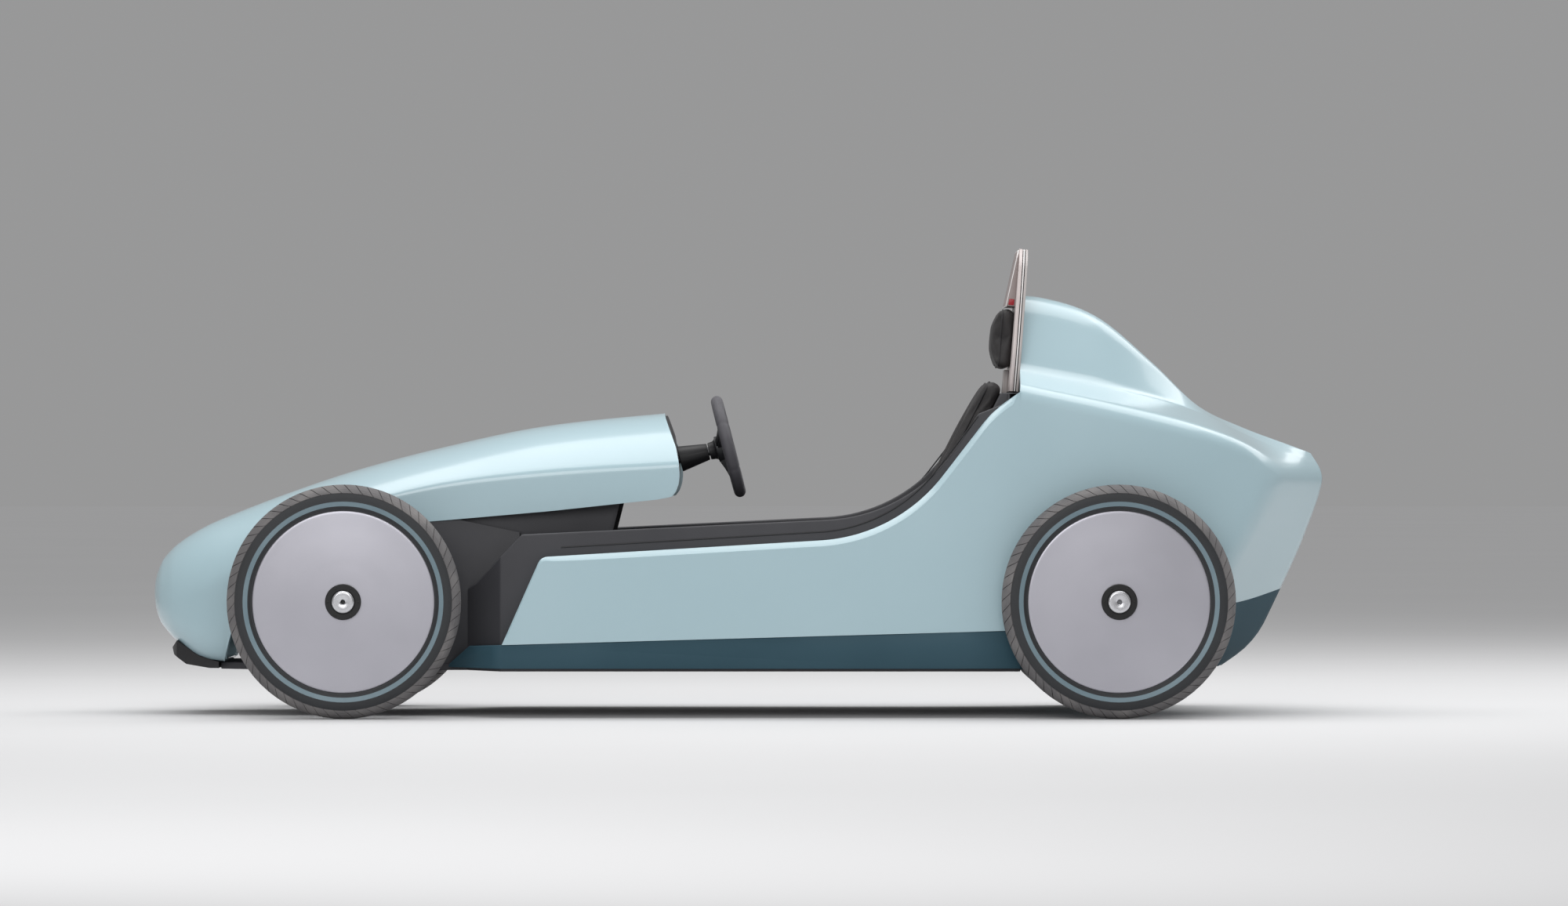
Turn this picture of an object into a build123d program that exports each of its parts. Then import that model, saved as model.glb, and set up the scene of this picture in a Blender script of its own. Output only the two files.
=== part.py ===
from build123d import *
from math import cos, radians, sin, sqrt, tan
import os

os.makedirs("parts", exist_ok=True)

# wheels and axles
tyre_radius = 265
tyre_half_width = 30
half_track = 400
front_axle_x = 890
rear_axle_x = -860
stub_radius = 10
running_gap = 0.08
axle_room = 40

# floor and cockpit
floor_low = 105
floor_top = 121
panel_outer = half_track - 35
tub_outer = panel_outer - 30
tub_inner = tub_outer - 25
footwell_inner = 208
footwell_outer = 226
footwell_front = front_axle_x - axle_room
footwell_rear = 500
bulkhead_wall = 14
flare_front = 620
flare_rear = 540
tail_front = -640
tail_run = rear_axle_x - tail_front
seat_foot_x = -285
seat_slope = 27
seat_half = 195
seat_pad = 56
seat_low = 98
seat_high = 712
cushion_front = 90
cushion_top = 205

# skins
bonnet_wall = 6
tail_wall = 10
sill_outer = panel_outer - 3
sill_tail = panel_outer - 17
sill_low = 112
tail_low = 109
cut_reach = 460
stern_wall = 24

# steering
column_tilt = 14.5
column_x = 25
column_z = 616
grip_radius = 14
wheel_radius = 107
shaft_radius = 10
kingpin_y = half_track - 65
kingpin_radius = 7
arm_reach = 80
pitman_reach = 47.8
rod_z = 324

# pedals
crank_x = 610
crank_z = 345
crank_reach = 155

# rows of the bonnet: station, half width, bottom, crease, top, lower corner
bonnet_rows = [
    (1354, 46, 246, 276, 318, 22),
    (1338, 92, 208, 262, 354, 45),
    (1300, 142, 172, 258, 391, 60),
    (1240, 180, 132, 280, 429, 60),
    (1170, 202, floor_top, 318, 460, 55),
    (1050, 215, floor_top, 400, 506, 55),
    (890, 222, floor_top, 476, 560, 55),
    (690, 228, floor_top, 529, 613, 55),
    (450, 245, floor_top, 558, 663, 55),
    (110, 264, floor_top, 579, 699, 55),
]

# rows of the tail: station, inset of the side, seam height, inset and height of the shoulder,
# valley half width and height, crown half width and height, round of each corner
tail_rows = [
    (tail_front + 50, 8, 193, 19, 764, 205, 800, 112, 965, 46, 50, 80),
    (tail_front + 0.27 * tail_run, 19, 206, 31, 738, 192, 782, 102, 960, 46, 50, 80),
    (tail_front + 0.86 * tail_run, 24, 222, 39, 711, 168, 757, 84, 915, 46, 50, 70),
    (rear_axle_x - 100, 30, 238, 49, 682, 128, 727, 58, 806, 44, 40, 44),
    (rear_axle_x - 200, 45, 250, 65, 655, 108, 695, 42, 711, 40, 30, 30),
    (rear_axle_x - 300, 77, 262, 99, 618, 96, 648, 36, 662, 34, 30, 30),
    (rear_axle_x - 410, 135, 291, 161, 545, 84, 600, 32, 621, 30, 30, 30),
    (rear_axle_x - 520, 215, 320, 243, 470, 60, 560, 26, 580, 24, 24, 24),
]

# stern outline on the centre plane, behind the rear axle, from the deck down to the floor
stern_points = [
    (-440, 640), (-476, 583), (-492, 560), (-494, 545), (-490, 525), (-476, 479), (-438, 380), (-394, 285),
    (-347, 187), (-303, 137), (-254, tail_low),
]
stern_sweep = 0.55

# rows of the body side: station, inset at the seam and at the shoulder
side_rows = [
    (600, 0, 0),
    (-250, 0, 2),
    (-450, 1, 7),
    (tail_front + 50, 8, 19),
    (tail_front, 13.5, 24.5),
]
seam_z = 199
shoulder_z = 752


def eased(rows, parts):
    stations = [row[0] for row in rows]
    slopes = []
    for k in range(len(rows)):
        a = rows[max(k - 1, 0)]
        b = rows[min(k + 1, len(rows) - 1)]
        slopes.append([(q - p) / (b[0] - a[0]) for p, q in zip(a, b)])
    fine = []
    for k in range(len(rows) - 1):
        step = stations[k + 1] - stations[k]
        for part in range(parts):
            t = part / parts
            near = 2 * t**3 - 3 * t**2 + 1
            lift = (t**3 - 2 * t**2 + t) * step
            drop = (t**3 - t**2) * step
            columns = zip(rows[k], rows[k + 1], slopes[k], slopes[k + 1])
            fine.append([near * p + (1 - near) * q + lift * m + drop * n for p, q, m, n in columns])
    return fine + [list(rows[-1])]


def plan_prism(points, low, high):
    face = make_face(Polyline(*points, close=True))
    return Pos(0, 0, low) * extrude(face, high - low)


def side_prism(points, near, far):
    wire = Polyline(*[(x, near, z) for x, z in points], close=True)
    return extrude(Face(Wire(wire.edges())), far - near, dir=(0, 1, 0))


def swept_side(path, near, far):
    edges = Pos(0, near, 0) * (Rot(90, 0, 0) * path)
    return extrude(Face(Wire(edges.edges())), far - near, dir=(0, 1, 0))


def cross_tube(radius, x, z, near, far):
    tube = Cylinder(radius, far - near, align=(Align.CENTER, Align.CENTER, Align.MIN))
    return Pos(x, near, z) * (Rot(-90, 0, 0) * tube)


def upright(radius, x, y, low, high):
    post = Cylinder(radius, high - low, align=(Align.CENTER, Align.CENTER, Align.MIN))
    return Pos(x, y, low) * post


def block(x0, x1, y0, y1, z0, z1):
    return Pos((x0 + x1) / 2, (y0 + y1) / 2, (z0 + z1) / 2) * Box(x1 - x0, y1 - y0, z1 - z0)


def station(x):
    return Plane(origin=(x, 0, 0), x_dir=(0, 1, 0), z_dir=(1, 0, 0))


def flip(shape):
    return mirror(shape, about=Plane.XZ)


def save(shape, node):
    export_step(shape, f"parts/{node}.step")


def on_column(shape, along):
    turn = Pos(column_x, 0, column_z) * Rot(0, 90 + column_tilt, 0)
    return turn * (Pos(0, 0, along) * shape)


def bonnet_section(row, shrink):
    x, half, low, crease, top, corner = row
    w = half - shrink
    z0 = low + shrink
    z1 = crease - shrink / 2
    z2 = top - shrink
    r = corner - shrink
    bend = r * (1 - sqrt(0.5))
    outline = [
        ThreePointArc((w, z1), (0, z2), (-w, z1)),
        Line((-w, z1), (-w, z0 + r)),
        ThreePointArc((-w, z0 + r), (-w + bend, z0 + bend), (-w + r, z0)),
        Line((-w + r, z0), (w - r, z0)),
        ThreePointArc((w - r, z0), (w - bend, z0 + bend), (w, z0 + r)),
        Line((w, z0 + r), (w, z1)),
    ]
    return station(x) * make_face(outline)


def tail_section(row, shrink):
    x, side, seam, shoulder, zs, wv, zv, wc, zc, rs, rv, rc = row
    low = seam - 4 * shrink
    half = [
        (panel_outer - side - shrink, low),
        (panel_outer - shoulder - shrink, zs - shrink),
        (wv - shrink, zv - shrink),
        (wc - shrink, zc - shrink),
    ]
    points = half + [(-y, z) for y, z in reversed(half)]
    rounds = [0, rs, rv, rc, rc, rv, rs, 0]
    return station(x) * make_face(FilletPolyline(*points, radius=rounds, close=True))


# bonnet shell with the nose, open below and behind
bonnet_outer = loft([bonnet_section(row, 0) for row in eased(bonnet_rows, 2)], ruled=True)
bonnet_inner = loft([bonnet_section(row, bonnet_wall) for row in eased(bonnet_rows, 2)[4:]], ruled=True)
hem = [(footwell_front, 437), (684, 445), (433, 468), (182, 495), (143, 510)]
belly = side_prism(
    [(1182, 60), (1180, 122), (1167, 153), (1130, 300), (1090, 400), (1040, 428)]
    + hem + [(100, 500), (100, 60)],
    -cut_reach, cut_reach)
rear_edge = [(182, 730), (168, 683), (143, 615), (136, 580), (134, 526), (143, 510)]
rear_cut = side_prism(rear_edge + [(20, 440), (20, 730)], -cut_reach, cut_reach)
bonnet = bonnet_outer - bonnet_inner - belly - rear_cut
save(bonnet, "bonnet")

dash_points = [(176, 720), (150, 640), (140, 560), (152, 560), (162, 640), (188, 720)]
dash_slab = side_prism(dash_points, -cut_reach, cut_reach)
column_hole = on_column(Cylinder(shaft_radius + 1, 400), 120)
dash_panel = (bonnet_inner & dash_slab) - column_hole
save(dash_panel, "dash_panel")

shroud = Cone(19, 30, 68, align=(Align.CENTER, Align.CENTER, Align.MIN))
column_shroud = on_column(shroud, 48) - column_hole - dash_slab
column_shroud = column_shroud - side_prism([(150, 640), (140, 560), (300, 560), (300, 640)], -80, 80)
save(column_shroud, "column_shroud")

# floor pan and cockpit walls
floor_half = [
    (1190, 130), (1060, 205), (footwell_front, footwell_outer), (flare_front, footwell_outer),
    (flare_rear, tub_outer), (tail_front, tub_outer),
]
floor_plan = floor_half + [(x, -y) for x, y in reversed(floor_half)]
floor_pan = plan_prism(floor_plan, floor_low, floor_top)
save(floor_pan, "floor_pan")

footwell_side = [
    (footwell_front, floor_top), (footwell_rear, floor_top), (footwell_rear, 420), (640, 449), (684, 445),
    (footwell_front, 437),
]
footwell_left = side_prism(footwell_side, footwell_inner, footwell_outer)
front_wall = block(footwell_front - bulkhead_wall, footwell_front, -footwell_inner, footwell_inner,
                   floor_top, 436)
footwell = footwell_left + flip(footwell_left) + front_wall
wall_along = (footwell_front - column_x) / cos(radians(column_tilt))
footwell = footwell - on_column(Cylinder(shaft_radius + 4, 8 * bulkhead_wall), wall_along)
save(footwell, "footwell")

rim_points = [
    (597, 304), (491, 416), (-394, 458.5), (-545, 690), (-600, 712), (tail_front, 712),
    (tail_front, floor_top), (flare_front, floor_top), (flare_front, 290),
]
rim_rounds = [8, 374]
rim_edge = FilletPolyline(*rim_points[:4], radius=rim_rounds)
rim_prism = swept_side(rim_edge + Polyline(*rim_points[3:], rim_points[0]), 0, cut_reach)
wall_plan = [
    (flare_front, footwell_outer), (flare_rear, tub_outer), (tail_front, tub_outer), (tail_front, tub_inner),
    (flare_rear - 12, tub_inner), (flare_front - 34, footwell_outer),
]
tub_wall_left = plan_prism(wall_plan, floor_top, 760) & rim_prism
save(tub_wall_left, "tub_wall_left")
save(flip(tub_wall_left), "tub_wall_right")

seat_head_z = 738
seat_head_x = seat_foot_x - (seat_head_z - floor_top) * tan(radians(seat_slope))
seat_bulkhead = side_prism(
    [(seat_foot_x, floor_top), (seat_head_x, seat_head_z), (seat_head_x - 26, seat_head_z),
     (seat_foot_x - 26, floor_top)],
    -tub_inner, tub_inner)
save(seat_bulkhead, "seat_bulkhead")

# side panels and sills
panel_points = [
    (535, 166), (447, 365), (-359, 413), (-578, 705), (tail_front, 757), (tail_front, seam_z),
]
panel_rounds = [14, 432, 333]
panel_edge = FilletPolyline(*panel_points[:5], radius=panel_rounds)
panel_face = panel_edge + Polyline(*panel_points[4:], panel_points[0])
panel_low = 100
panel_high = 820
panel_chamfer = 4


def side_section(row):
    x, seam, shoulder = row
    slope = (shoulder - seam) / (shoulder_z - seam_z)
    foot = panel_outer - seam - slope * (panel_low - seam_z)
    head = panel_outer - seam - slope * (panel_high - seam_z)
    corners = [(tub_outer, panel_low), (foot, panel_low), (head, panel_high), (tub_outer, panel_high)]
    return station(x) * make_face(Polyline(*corners, close=True))


body_side = loft([side_section(row) for row in eased(side_rows, 2)], ruled=True)
side_panel_left = swept_side(panel_face, 0, cut_reach) & body_side
rim_of_panel = side_panel_left.edges().filter_by(lambda e: e.center().Y > tub_outer + 4)
rim_of_panel = rim_of_panel.filter_by(lambda e: e.center().Z > seam_z and e.center().X > tail_front + 1)
side_panel_left = chamfer(rim_of_panel, panel_chamfer)
save(side_panel_left, "side_panel_left")
save(flip(side_panel_left), "side_panel_right")

sill_side = [
    (664, sill_low), (660, 120), (613, 161), panel_points[0], (tail_front, seam_z), (tail_front, sill_low),
]
sill_plan = [
    (663, footwell_outer), (560, sill_outer - 10), (540, sill_outer), (-500, sill_outer),
    (tail_front, sill_tail), (tail_front, tub_outer), (flare_rear, tub_outer), (flare_front, footwell_outer),
]
sill_left = plan_prism(sill_plan, sill_low, seam_z + 1) & side_prism(sill_side, 0, cut_reach)
save(sill_left + flip(sill_left), "sills")

# tail shell with the head fairing and the swept stern
stern_keep = stern_points + [(-200, tail_low), (-200, 60), (1460, 60), (1460, 1200), (-390, 1200)]
stern_wire = Polyline(*[(rear_axle_x + x, 0, z) for x, z in stern_keep], close=True)
stern_left = extrude(Face(Wire(stern_wire.edges())), cut_reach, dir=(stern_sweep, 1, 0))
stern_solid = stern_left + flip(stern_left)
stern_room = Pos(stern_wall, 0, 0) * stern_solid
lean_foot_z = 741
lean = 4.72
lean_top = tail_front - (1080 - lean_foot_z) * tan(radians(lean))
lean_points = [(-500, 60), (tail_front, 60), (tail_front, lean_foot_z), (lean_top, 1080), (-500, 1080)]
lean_cut = side_prism(lean_points, -cut_reach, cut_reach)
tail_outer = loft([tail_section(row, 0) for row in eased(tail_rows, 2)], ruled=True)
tail_inner = loft([tail_section(row, tail_wall) for row in eased(tail_rows, 2)[:11]], ruled=True)
axle_hole = cross_tube(18, rear_axle_x, tyre_radius, -cut_reach, cut_reach)
tail_shell = (tail_outer & stern_solid) - (tail_inner & stern_room) - lean_cut - axle_hole
save(tail_shell, "tail_shell")


def diffuser_section(row, shrink):
    x, side, seam = row[:3]
    w = panel_outer - side - shrink
    low = tail_low + shrink
    points = [(w, seam + shrink), (w - 24, low), (24 - w, low), (-w, seam + shrink)]
    return station(x) * make_face(Polyline(*points, close=True))


diffuser_outer = loft([diffuser_section(row, 0) for row in eased(tail_rows, 2)], ruled=True)
diffuser_inner = loft([diffuser_section(row, tail_wall) for row in eased(tail_rows, 2)[:9]], ruled=True)
diffuser = (diffuser_outer & stern_solid) - (diffuser_inner & stern_room) - lean_cut
save(diffuser, "diffuser")

# bumper blade under the nose
bumper_side = [
    (1292, 170), (1304, 154), (1300, 138), (1270, 116), (1215, 107), (1194, 107), (1194, 121.5), (1240, 135),
]
bumper_plan = [(1310, -92), (1292, -128), (1194, -150), (1194, 150), (1292, 128), (1310, 92)]
front_bumper = (side_prism(bumper_side, -200, 200) & plan_prism(bumper_plan, 80, 200)) - bonnet_outer
save(front_bumper, "front_bumper")

# headrest plate, pad and bracket, and the seat
def leaned(shape):
    return Pos(tail_front, 0, lean_foot_z) * (Rot(0, -lean, 0) * shape)


plate_half = [(210, 0), (205, 90), (170, 215), (128, 300), (78, 331)]
plate_points = plate_half + [(-y, z) for y, z in reversed(plate_half)]
plate_rounds = [0, 60, 120, 60, 40, 40, 60, 120, 60, 0]
plate_face = station(0) * make_face(FilletPolyline(*plate_points, radius=plate_rounds, close=True))
plate_thick = 20
pad_half = 110
pad_low = 50
pad_high = 192
pad_front = plate_thick + 50
hood_front = plate_thick + 22
hood_top = 326
hood_points = [(0, pad_high + 2), (hood_front, pad_high + 4), (plate_thick + 4, hood_top), (0, hood_top)]
hood_half = pad_half - 6
hood_block = side_prism(hood_points, -hood_half, hood_half)
head_hood = extrude(plate_face, hood_front + 1, dir=(1, 0, 0)) & hood_block
headrest_plate = leaned(extrude(plate_face, plate_thick, dir=(1, 0, 0)) + head_hood)
save(headrest_plate, "headrest_plate")

pad_box = block(plate_thick, pad_front, -pad_half, pad_half, pad_low, pad_high)
headrest_pad = leaned(fillet(pad_box.edges(), 20))
save(headrest_pad, "headrest_pad")
headrest_bracket = leaned(block(plate_thick, plate_thick + 11, -36, 36, -4, pad_low))
save(headrest_bracket, "headrest_bracket")


def reclined(shape):
    return Pos(seat_foot_x, 0, floor_top) * (Rot(0, -seat_slope, 0) * shape)


seat_back = reclined(fillet(block(0, seat_pad, -seat_half, seat_half, seat_low, seat_high).edges(), 20))
save(seat_back, "seat_back")
cushion = block(seat_foot_x, cushion_front, -seat_half, seat_half, floor_top, cushion_top)
back_room = block(-4 * seat_pad, seat_pad + 2, -tub_inner, tub_inner, -seat_low, 4 * seat_low)
cushion = cushion - reclined(back_room)
seat_base = fillet(cushion.edges().group_by(Axis.Z)[-1], 18)
save(seat_base, "seat_base")

# steering wheel, column and linkage
steering_rim = on_column(Torus(wheel_radius, grip_radius), 0)
save(steering_rim, "steering_rim")

hub_disc = Pos(0, 0, 18) * Cylinder(30, 20)
spokes = hub_disc
for angle in (0, 120, 240):
    spoke = Line((24, 0, 20), (wheel_radius, 0, 0))
    bar = sweep(Plane(origin=(24, 0, 20), z_dir=(wheel_radius - 24, 0, -20)) * Rectangle(8, 26), path=spoke)
    spokes = spokes + Rot(0, 0, angle) * bar
steering_spokes = on_column(spokes, 0) - steering_rim
save(steering_spokes, "steering_spokes")

tilt_sin = sin(radians(column_tilt))
tilt_cos = cos(radians(column_tilt))
reach = (front_axle_x + arm_reach - column_x - pitman_reach * tilt_sin) / tilt_cos
pin_z = column_z - reach * tilt_sin + pitman_reach * tilt_cos
shaft = Cylinder(shaft_radius, reach - 60, align=(Align.CENTER, Align.CENTER, Align.MIN))
pitman = Pos(-pitman_reach / 2, 0, 0) * Box(pitman_reach, 20, 12)
pitman = pitman + Cylinder(16, 12) + Pos(-pitman_reach, 0, 0) * Cylinder(11, 12)
pin = Pos(-pitman_reach, 0, 0) * Cylinder(5, 52, align=(Align.CENTER, Align.CENTER, Align.MIN))
steering_shaft = on_column(shaft, 28) + on_column(pitman, reach - 32) + on_column(pin, reach - 32)
save(steering_shaft, "steering_shaft")

axle_tube = cross_tube(20, front_axle_x, tyre_radius, -kingpin_y, kingpin_y)
front_axle = axle_tube
for side in (-1, 1):
    boss = upright(20, front_axle_x, side * kingpin_y, 235, 295)
    kingpin = upright(kingpin_radius, front_axle_x, side * kingpin_y, 219, 311)
    near = side * 130 - 9
    hanger = block(front_axle_x - 18, front_axle_x + 18, near, near + 18, floor_top, tyre_radius)
    front_axle = front_axle + boss + kingpin + hanger
save(front_axle, "front_axle")

bore = upright(kingpin_radius + running_gap, front_axle_x, kingpin_y, 200, 330)
arm_x = front_axle_x + arm_reach
knuckle = block(front_axle_x - 20, front_axle_x + 20, kingpin_y + 22, kingpin_y + 32, 219, 311)
for low in (219, 297):
    ear = upright(20, front_axle_x, kingpin_y, low, low + 14)
    lug = block(front_axle_x - 20, front_axle_x + 20, kingpin_y, kingpin_y + 22, low, low + 14)
    knuckle = knuckle + ear + lug
arm = block(front_axle_x, arm_x, kingpin_y - 11, kingpin_y + 11, 297, 311)
arm = arm + upright(11, arm_x, kingpin_y, 297, 311)
stub = cross_tube(stub_radius, front_axle_x, tyre_radius, kingpin_y + 32, half_track + 31)
rod_bore = upright(5 + running_gap, arm_x, kingpin_y, 290, 315)
knuckle_left = knuckle + arm + stub - bore - rod_bore
save(knuckle_left, "knuckle_left")
save(flip(knuckle_left), "knuckle_right")

track_rod = cross_tube(8, arm_x, rod_z, -kingpin_y, kingpin_y)
for side in (-1, 1):
    track_rod = track_rod + upright(11, arm_x, side * kingpin_y, rod_z - 9, rod_z + 9)
    track_rod = track_rod + upright(5, arm_x, side * kingpin_y, 297, rod_z)
slot_plate = block(arm_x - 4, arm_x + 4, -20, 20, rod_z, pin_z + 22)
slot_plate = slot_plate - block(arm_x - 9, arm_x + 9, -6.5, 6.5, pin_z - 23, pin_z + 9)
track_rod = track_rod + slot_plate
save(track_rod, "track_rod")

# rear axle, motor and battery
rear_axle = cross_tube(18, rear_axle_x, tyre_radius, -half_track + 33, half_track - 33)
for side in (-1, 1):
    near = min(side * (half_track - 33), side * (half_track + 31))
    rear_axle = rear_axle + cross_tube(stub_radius, rear_axle_x, tyre_radius, near, near + 64)
    rear_axle = rear_axle + block(rear_axle_x - 30, rear_axle_x + 30, side * 220 - 9, side * 220 + 9,
                                  tail_low + tail_wall, tyre_radius)
motor_body = cross_tube(82, rear_axle_x, tyre_radius, -75, 75)
drive_motor = motor_body - cross_tube(18, rear_axle_x, tyre_radius, -100, 100)
save(rear_axle, "rear_axle")
save(drive_motor, "drive_motor")
battery_pack = block(tail_front + 4, tail_front + 160, -200, 200, floor_top, 300)
save(battery_pack, "battery_pack")

# pedal generator, crank and pedals
housing = cross_tube(46, crank_x, crank_z, -46, 46)
post = block(crank_x - 34, crank_x + 34, -30, 30, floor_top, crank_z)
pedal_unit = housing + post - cross_tube(10.5, crank_x, crank_z, -60, 60)
save(pedal_unit, "pedal_unit")
crank = cross_tube(10, crank_x, crank_z, -66, 66)
for side, end in ((1, crank_reach), (-1, -crank_reach)):
    inner = 54 if side > 0 else -70
    crank_arm = block(min(0, end), max(0, end), inner, inner + 16, -12, 12)
    crank_arm = Pos(crank_x, 0, crank_z) * crank_arm
    crank_arm = crank_arm + cross_tube(16, crank_x, crank_z, inner, inner + 16)
    crank_arm = crank_arm + cross_tube(12, crank_x + end, crank_z, inner, inner + 16)
    crank = crank + crank_arm + cross_tube(6, crank_x + end, crank_z, min(side * 70, side * 162),
                                           max(side * 70, side * 162))
save(crank, "crank")
pedal_box = fillet(block(-46, 46, 78, 160, -12, 12).edges().filter_by(Axis.Y), 8)
pedal = Pos(crank_x + crank_reach, 0, crank_z) * pedal_box
pedal = pedal - cross_tube(6 + running_gap, crank_x + crank_reach, crank_z, 60, 200)
save(pedal, "pedal_left")
save(Pos(-2 * crank_reach, 0, 0) * flip(pedal), "pedal_right")

# wheels, built at the left front corner about their own axle
tyre_outline = [
    ThreePointArc((206, -21), (234, -tyre_half_width), (255, -22)),
    ThreePointArc((255, -22), (tyre_radius, 0), (255, 22)),
    ThreePointArc((255, 22), (234, tyre_half_width), (206, 21)),
    Line((206, 21), (206, -21)),
]
disc_points = [
    (206, -21), (206, 22), (120, 26), (30, 28), (30, 24), (120, 22), (192, 18), (192, -18), (62, -20),
    (62, -23),
]
hub_points = [
    (stub_radius + running_gap, -25), (30, -25), (30, 28), (40.5, 28), (40.5, 34),
    (stub_radius + running_gap, 34),
]
cap_points = [(5.5, 34), (25, 34), (25, 38), (22, 40), (5.5, 40)]


def turned(face):
    return revolve(face, Axis.Y)


tyre = turned(make_face(tyre_outline))
disc = turned(make_face(Polyline(*disc_points, close=True)))
hub = turned(make_face(Polyline(*hub_points, close=True)))
cap = turned(make_face(Polyline(*cap_points, close=True)))
corners = [
    ("front_left", front_axle_x, 1), ("front_right", front_axle_x, -1), ("rear_left", rear_axle_x, 1),
    ("rear_right", rear_axle_x, -1),
]
for corner, x, side in corners:
    for label, shape in (("tyre", tyre), ("disc", disc), ("hub", hub), ("cap", cap)):
        placed = Pos(x, half_track, tyre_radius) * shape
        save(placed if side > 0 else flip(placed), f"{label}_{corner}")
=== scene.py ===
import bmesh
import bpy
import math
from contextlib import contextmanager
from mathutils import Matrix, Vector
from mathutils.bvhtree import BVHTree


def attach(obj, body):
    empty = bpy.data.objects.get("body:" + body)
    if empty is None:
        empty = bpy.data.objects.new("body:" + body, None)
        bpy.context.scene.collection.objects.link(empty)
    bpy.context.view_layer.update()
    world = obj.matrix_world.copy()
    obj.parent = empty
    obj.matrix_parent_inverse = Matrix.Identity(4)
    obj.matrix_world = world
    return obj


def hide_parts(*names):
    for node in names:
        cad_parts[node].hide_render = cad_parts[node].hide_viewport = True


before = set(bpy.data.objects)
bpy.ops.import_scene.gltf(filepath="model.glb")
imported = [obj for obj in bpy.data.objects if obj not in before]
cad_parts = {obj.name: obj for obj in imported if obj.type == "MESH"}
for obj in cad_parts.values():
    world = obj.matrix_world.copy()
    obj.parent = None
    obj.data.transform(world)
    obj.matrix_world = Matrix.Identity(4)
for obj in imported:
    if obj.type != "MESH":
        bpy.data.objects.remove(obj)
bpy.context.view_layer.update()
mm = 0.001  # tables below are in millimetres, as the drawings are
mergeGap = 0.02 * mm
handed = ((1, "Left"), (-1, "Right"))


def sumOf(operation, turned=False):
    def method(self, other):
        first, second = (other, self) if turned else (self, other)
        return self.net.node("ShaderNodeMath", {"operation": operation}, {0: first, 1: second})
    return method


class Wire:  # one output socket, so that node maths reads as plain sums
    __add__, __radd__ = sumOf("ADD"), sumOf("ADD", True)
    __sub__, __rsub__ = sumOf("SUBTRACT"), sumOf("SUBTRACT", True)
    __mul__, __rmul__ = sumOf("MULTIPLY"), sumOf("MULTIPLY", True)
    __rtruediv__ = sumOf("DIVIDE", True)

    def __init__(self, net, socket):
        self.net = net
        self.socket = socket


class Net:  # a node tree with one way to add any node
    def __init__(self, tree):
        self.tree = tree

    def node(self, kind, settings=None, sockets=None, output=0):
        made = self.tree.nodes.new(kind)
        for name, value in (settings or {}).items():
            setattr(made, name, value)
        self.feed(made, sockets or {})
        return Wire(self, made.outputs[output])

    def feed(self, made, sockets):
        for name, value in sockets.items():
            if isinstance(value, Wire):
                self.tree.links.new(value.socket, made.inputs[name])
            else:
                made.inputs[name].default_value = value

    def mix(self, factor, first, second):
        return self.node("ShaderNodeMix", {"data_type": "RGBA"}, {0: factor, 6: first, 7: second}, 2)


def srgb(*colour):
    shares = [c / 255 for c in colour]
    return tuple(c / 12.92 if c < 0.04045 else ((c + 0.055) / 1.055) ** 2.4 for c in shares) + (1.0,)


class Finish(Net):  # a Principled surface with what most finishes need
    def __init__(self, name, look, sockets):
        self.material = bpy.data.materials.new(name)
        self.material.use_nodes = True
        super().__init__(self.material.node_tree)
        self.look = look
        self.shader = self.tree.nodes["Principled BSDF"]
        self.feed(self.shader, sockets)
        self.place = self.node("ShaderNodeTexCoord", output="Object")

    def noise(self, scale, detail, place=None):
        return self.node("ShaderNodeTexNoise", {}, {"Vector": place or self.place, "Scale": scale, "Detail": detail})

    def stretched(self, place, scale):
        return self.node("ShaderNodeMapping", {}, {"Vector": place, "Scale": scale})

    def ramp(self, value, low, high):
        return self.node("ShaderNodeMapRange", {}, {"Value": value, "From Min": low, "From Max": high})

    def patches(self, scale, detail, low, high):
        return self.ramp(self.noise(scale, detail), low, high)

    def toned(self, factor):
        return self.mix(factor, srgb(*self.look["colour"]), srgb(*self.look["shade"]))

    def done(self, factor, height, sockets, strength=1.0):
        dent = self.node("ShaderNodeBump", {}, {"Height": height, "Distance": self.look["depth"], "Strength": strength})
        self.feed(self.shader, {"Base Color": self.toned(factor), "Normal": dent, **sockets})
        return self.material


def paintFinish(name, look):
    paint = Finish(name, look, {"Metallic": 0.0, "IOR": 1.5, "Specular IOR Level": look["shine"],
                                "Coat Roughness": look["coatRoughness"], "Coat IOR": 1.5})
    drift = paint.patches(look["driftScale"], 2.0, 0.35, 0.65)
    return paint.done(drift, paint.noise(look["peelScale"], 1.0), {
        "Roughness": look["roughness"] + 0.06 * drift, "Coat Weight": look["coat"] - 0.15 * drift})


def plasticFinish(name, look):
    moulded = Finish(name, look, {"Metallic": 0.0, "IOR": 1.46})
    grain = moulded.noise(look["grainScale"], 4.0)
    cloud = moulded.patches(look["cloudScale"], 3.0, 0.3, 0.7)
    return moulded.done(cloud, grain, {"Roughness": look["roughness"] + 0.14 * (grain - 0.5) + 0.08 * cloud})


def metalFinish(name, look):
    metal = Finish(name, look, {"IOR": 1.5})
    brushed = metal.noise(1.0, 2.0, metal.stretched(metal.place, look["brush"]))
    dull = metal.patches(look["dullScale"], 3.0, 0.35, 0.7)
    return metal.done(dull, brushed, {
        "Metallic": look["metallic"] - 0.1 * dull,
        "Roughness": look["roughness"] + 0.16 * (brushed - 0.5) + 0.08 * dull})


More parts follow.
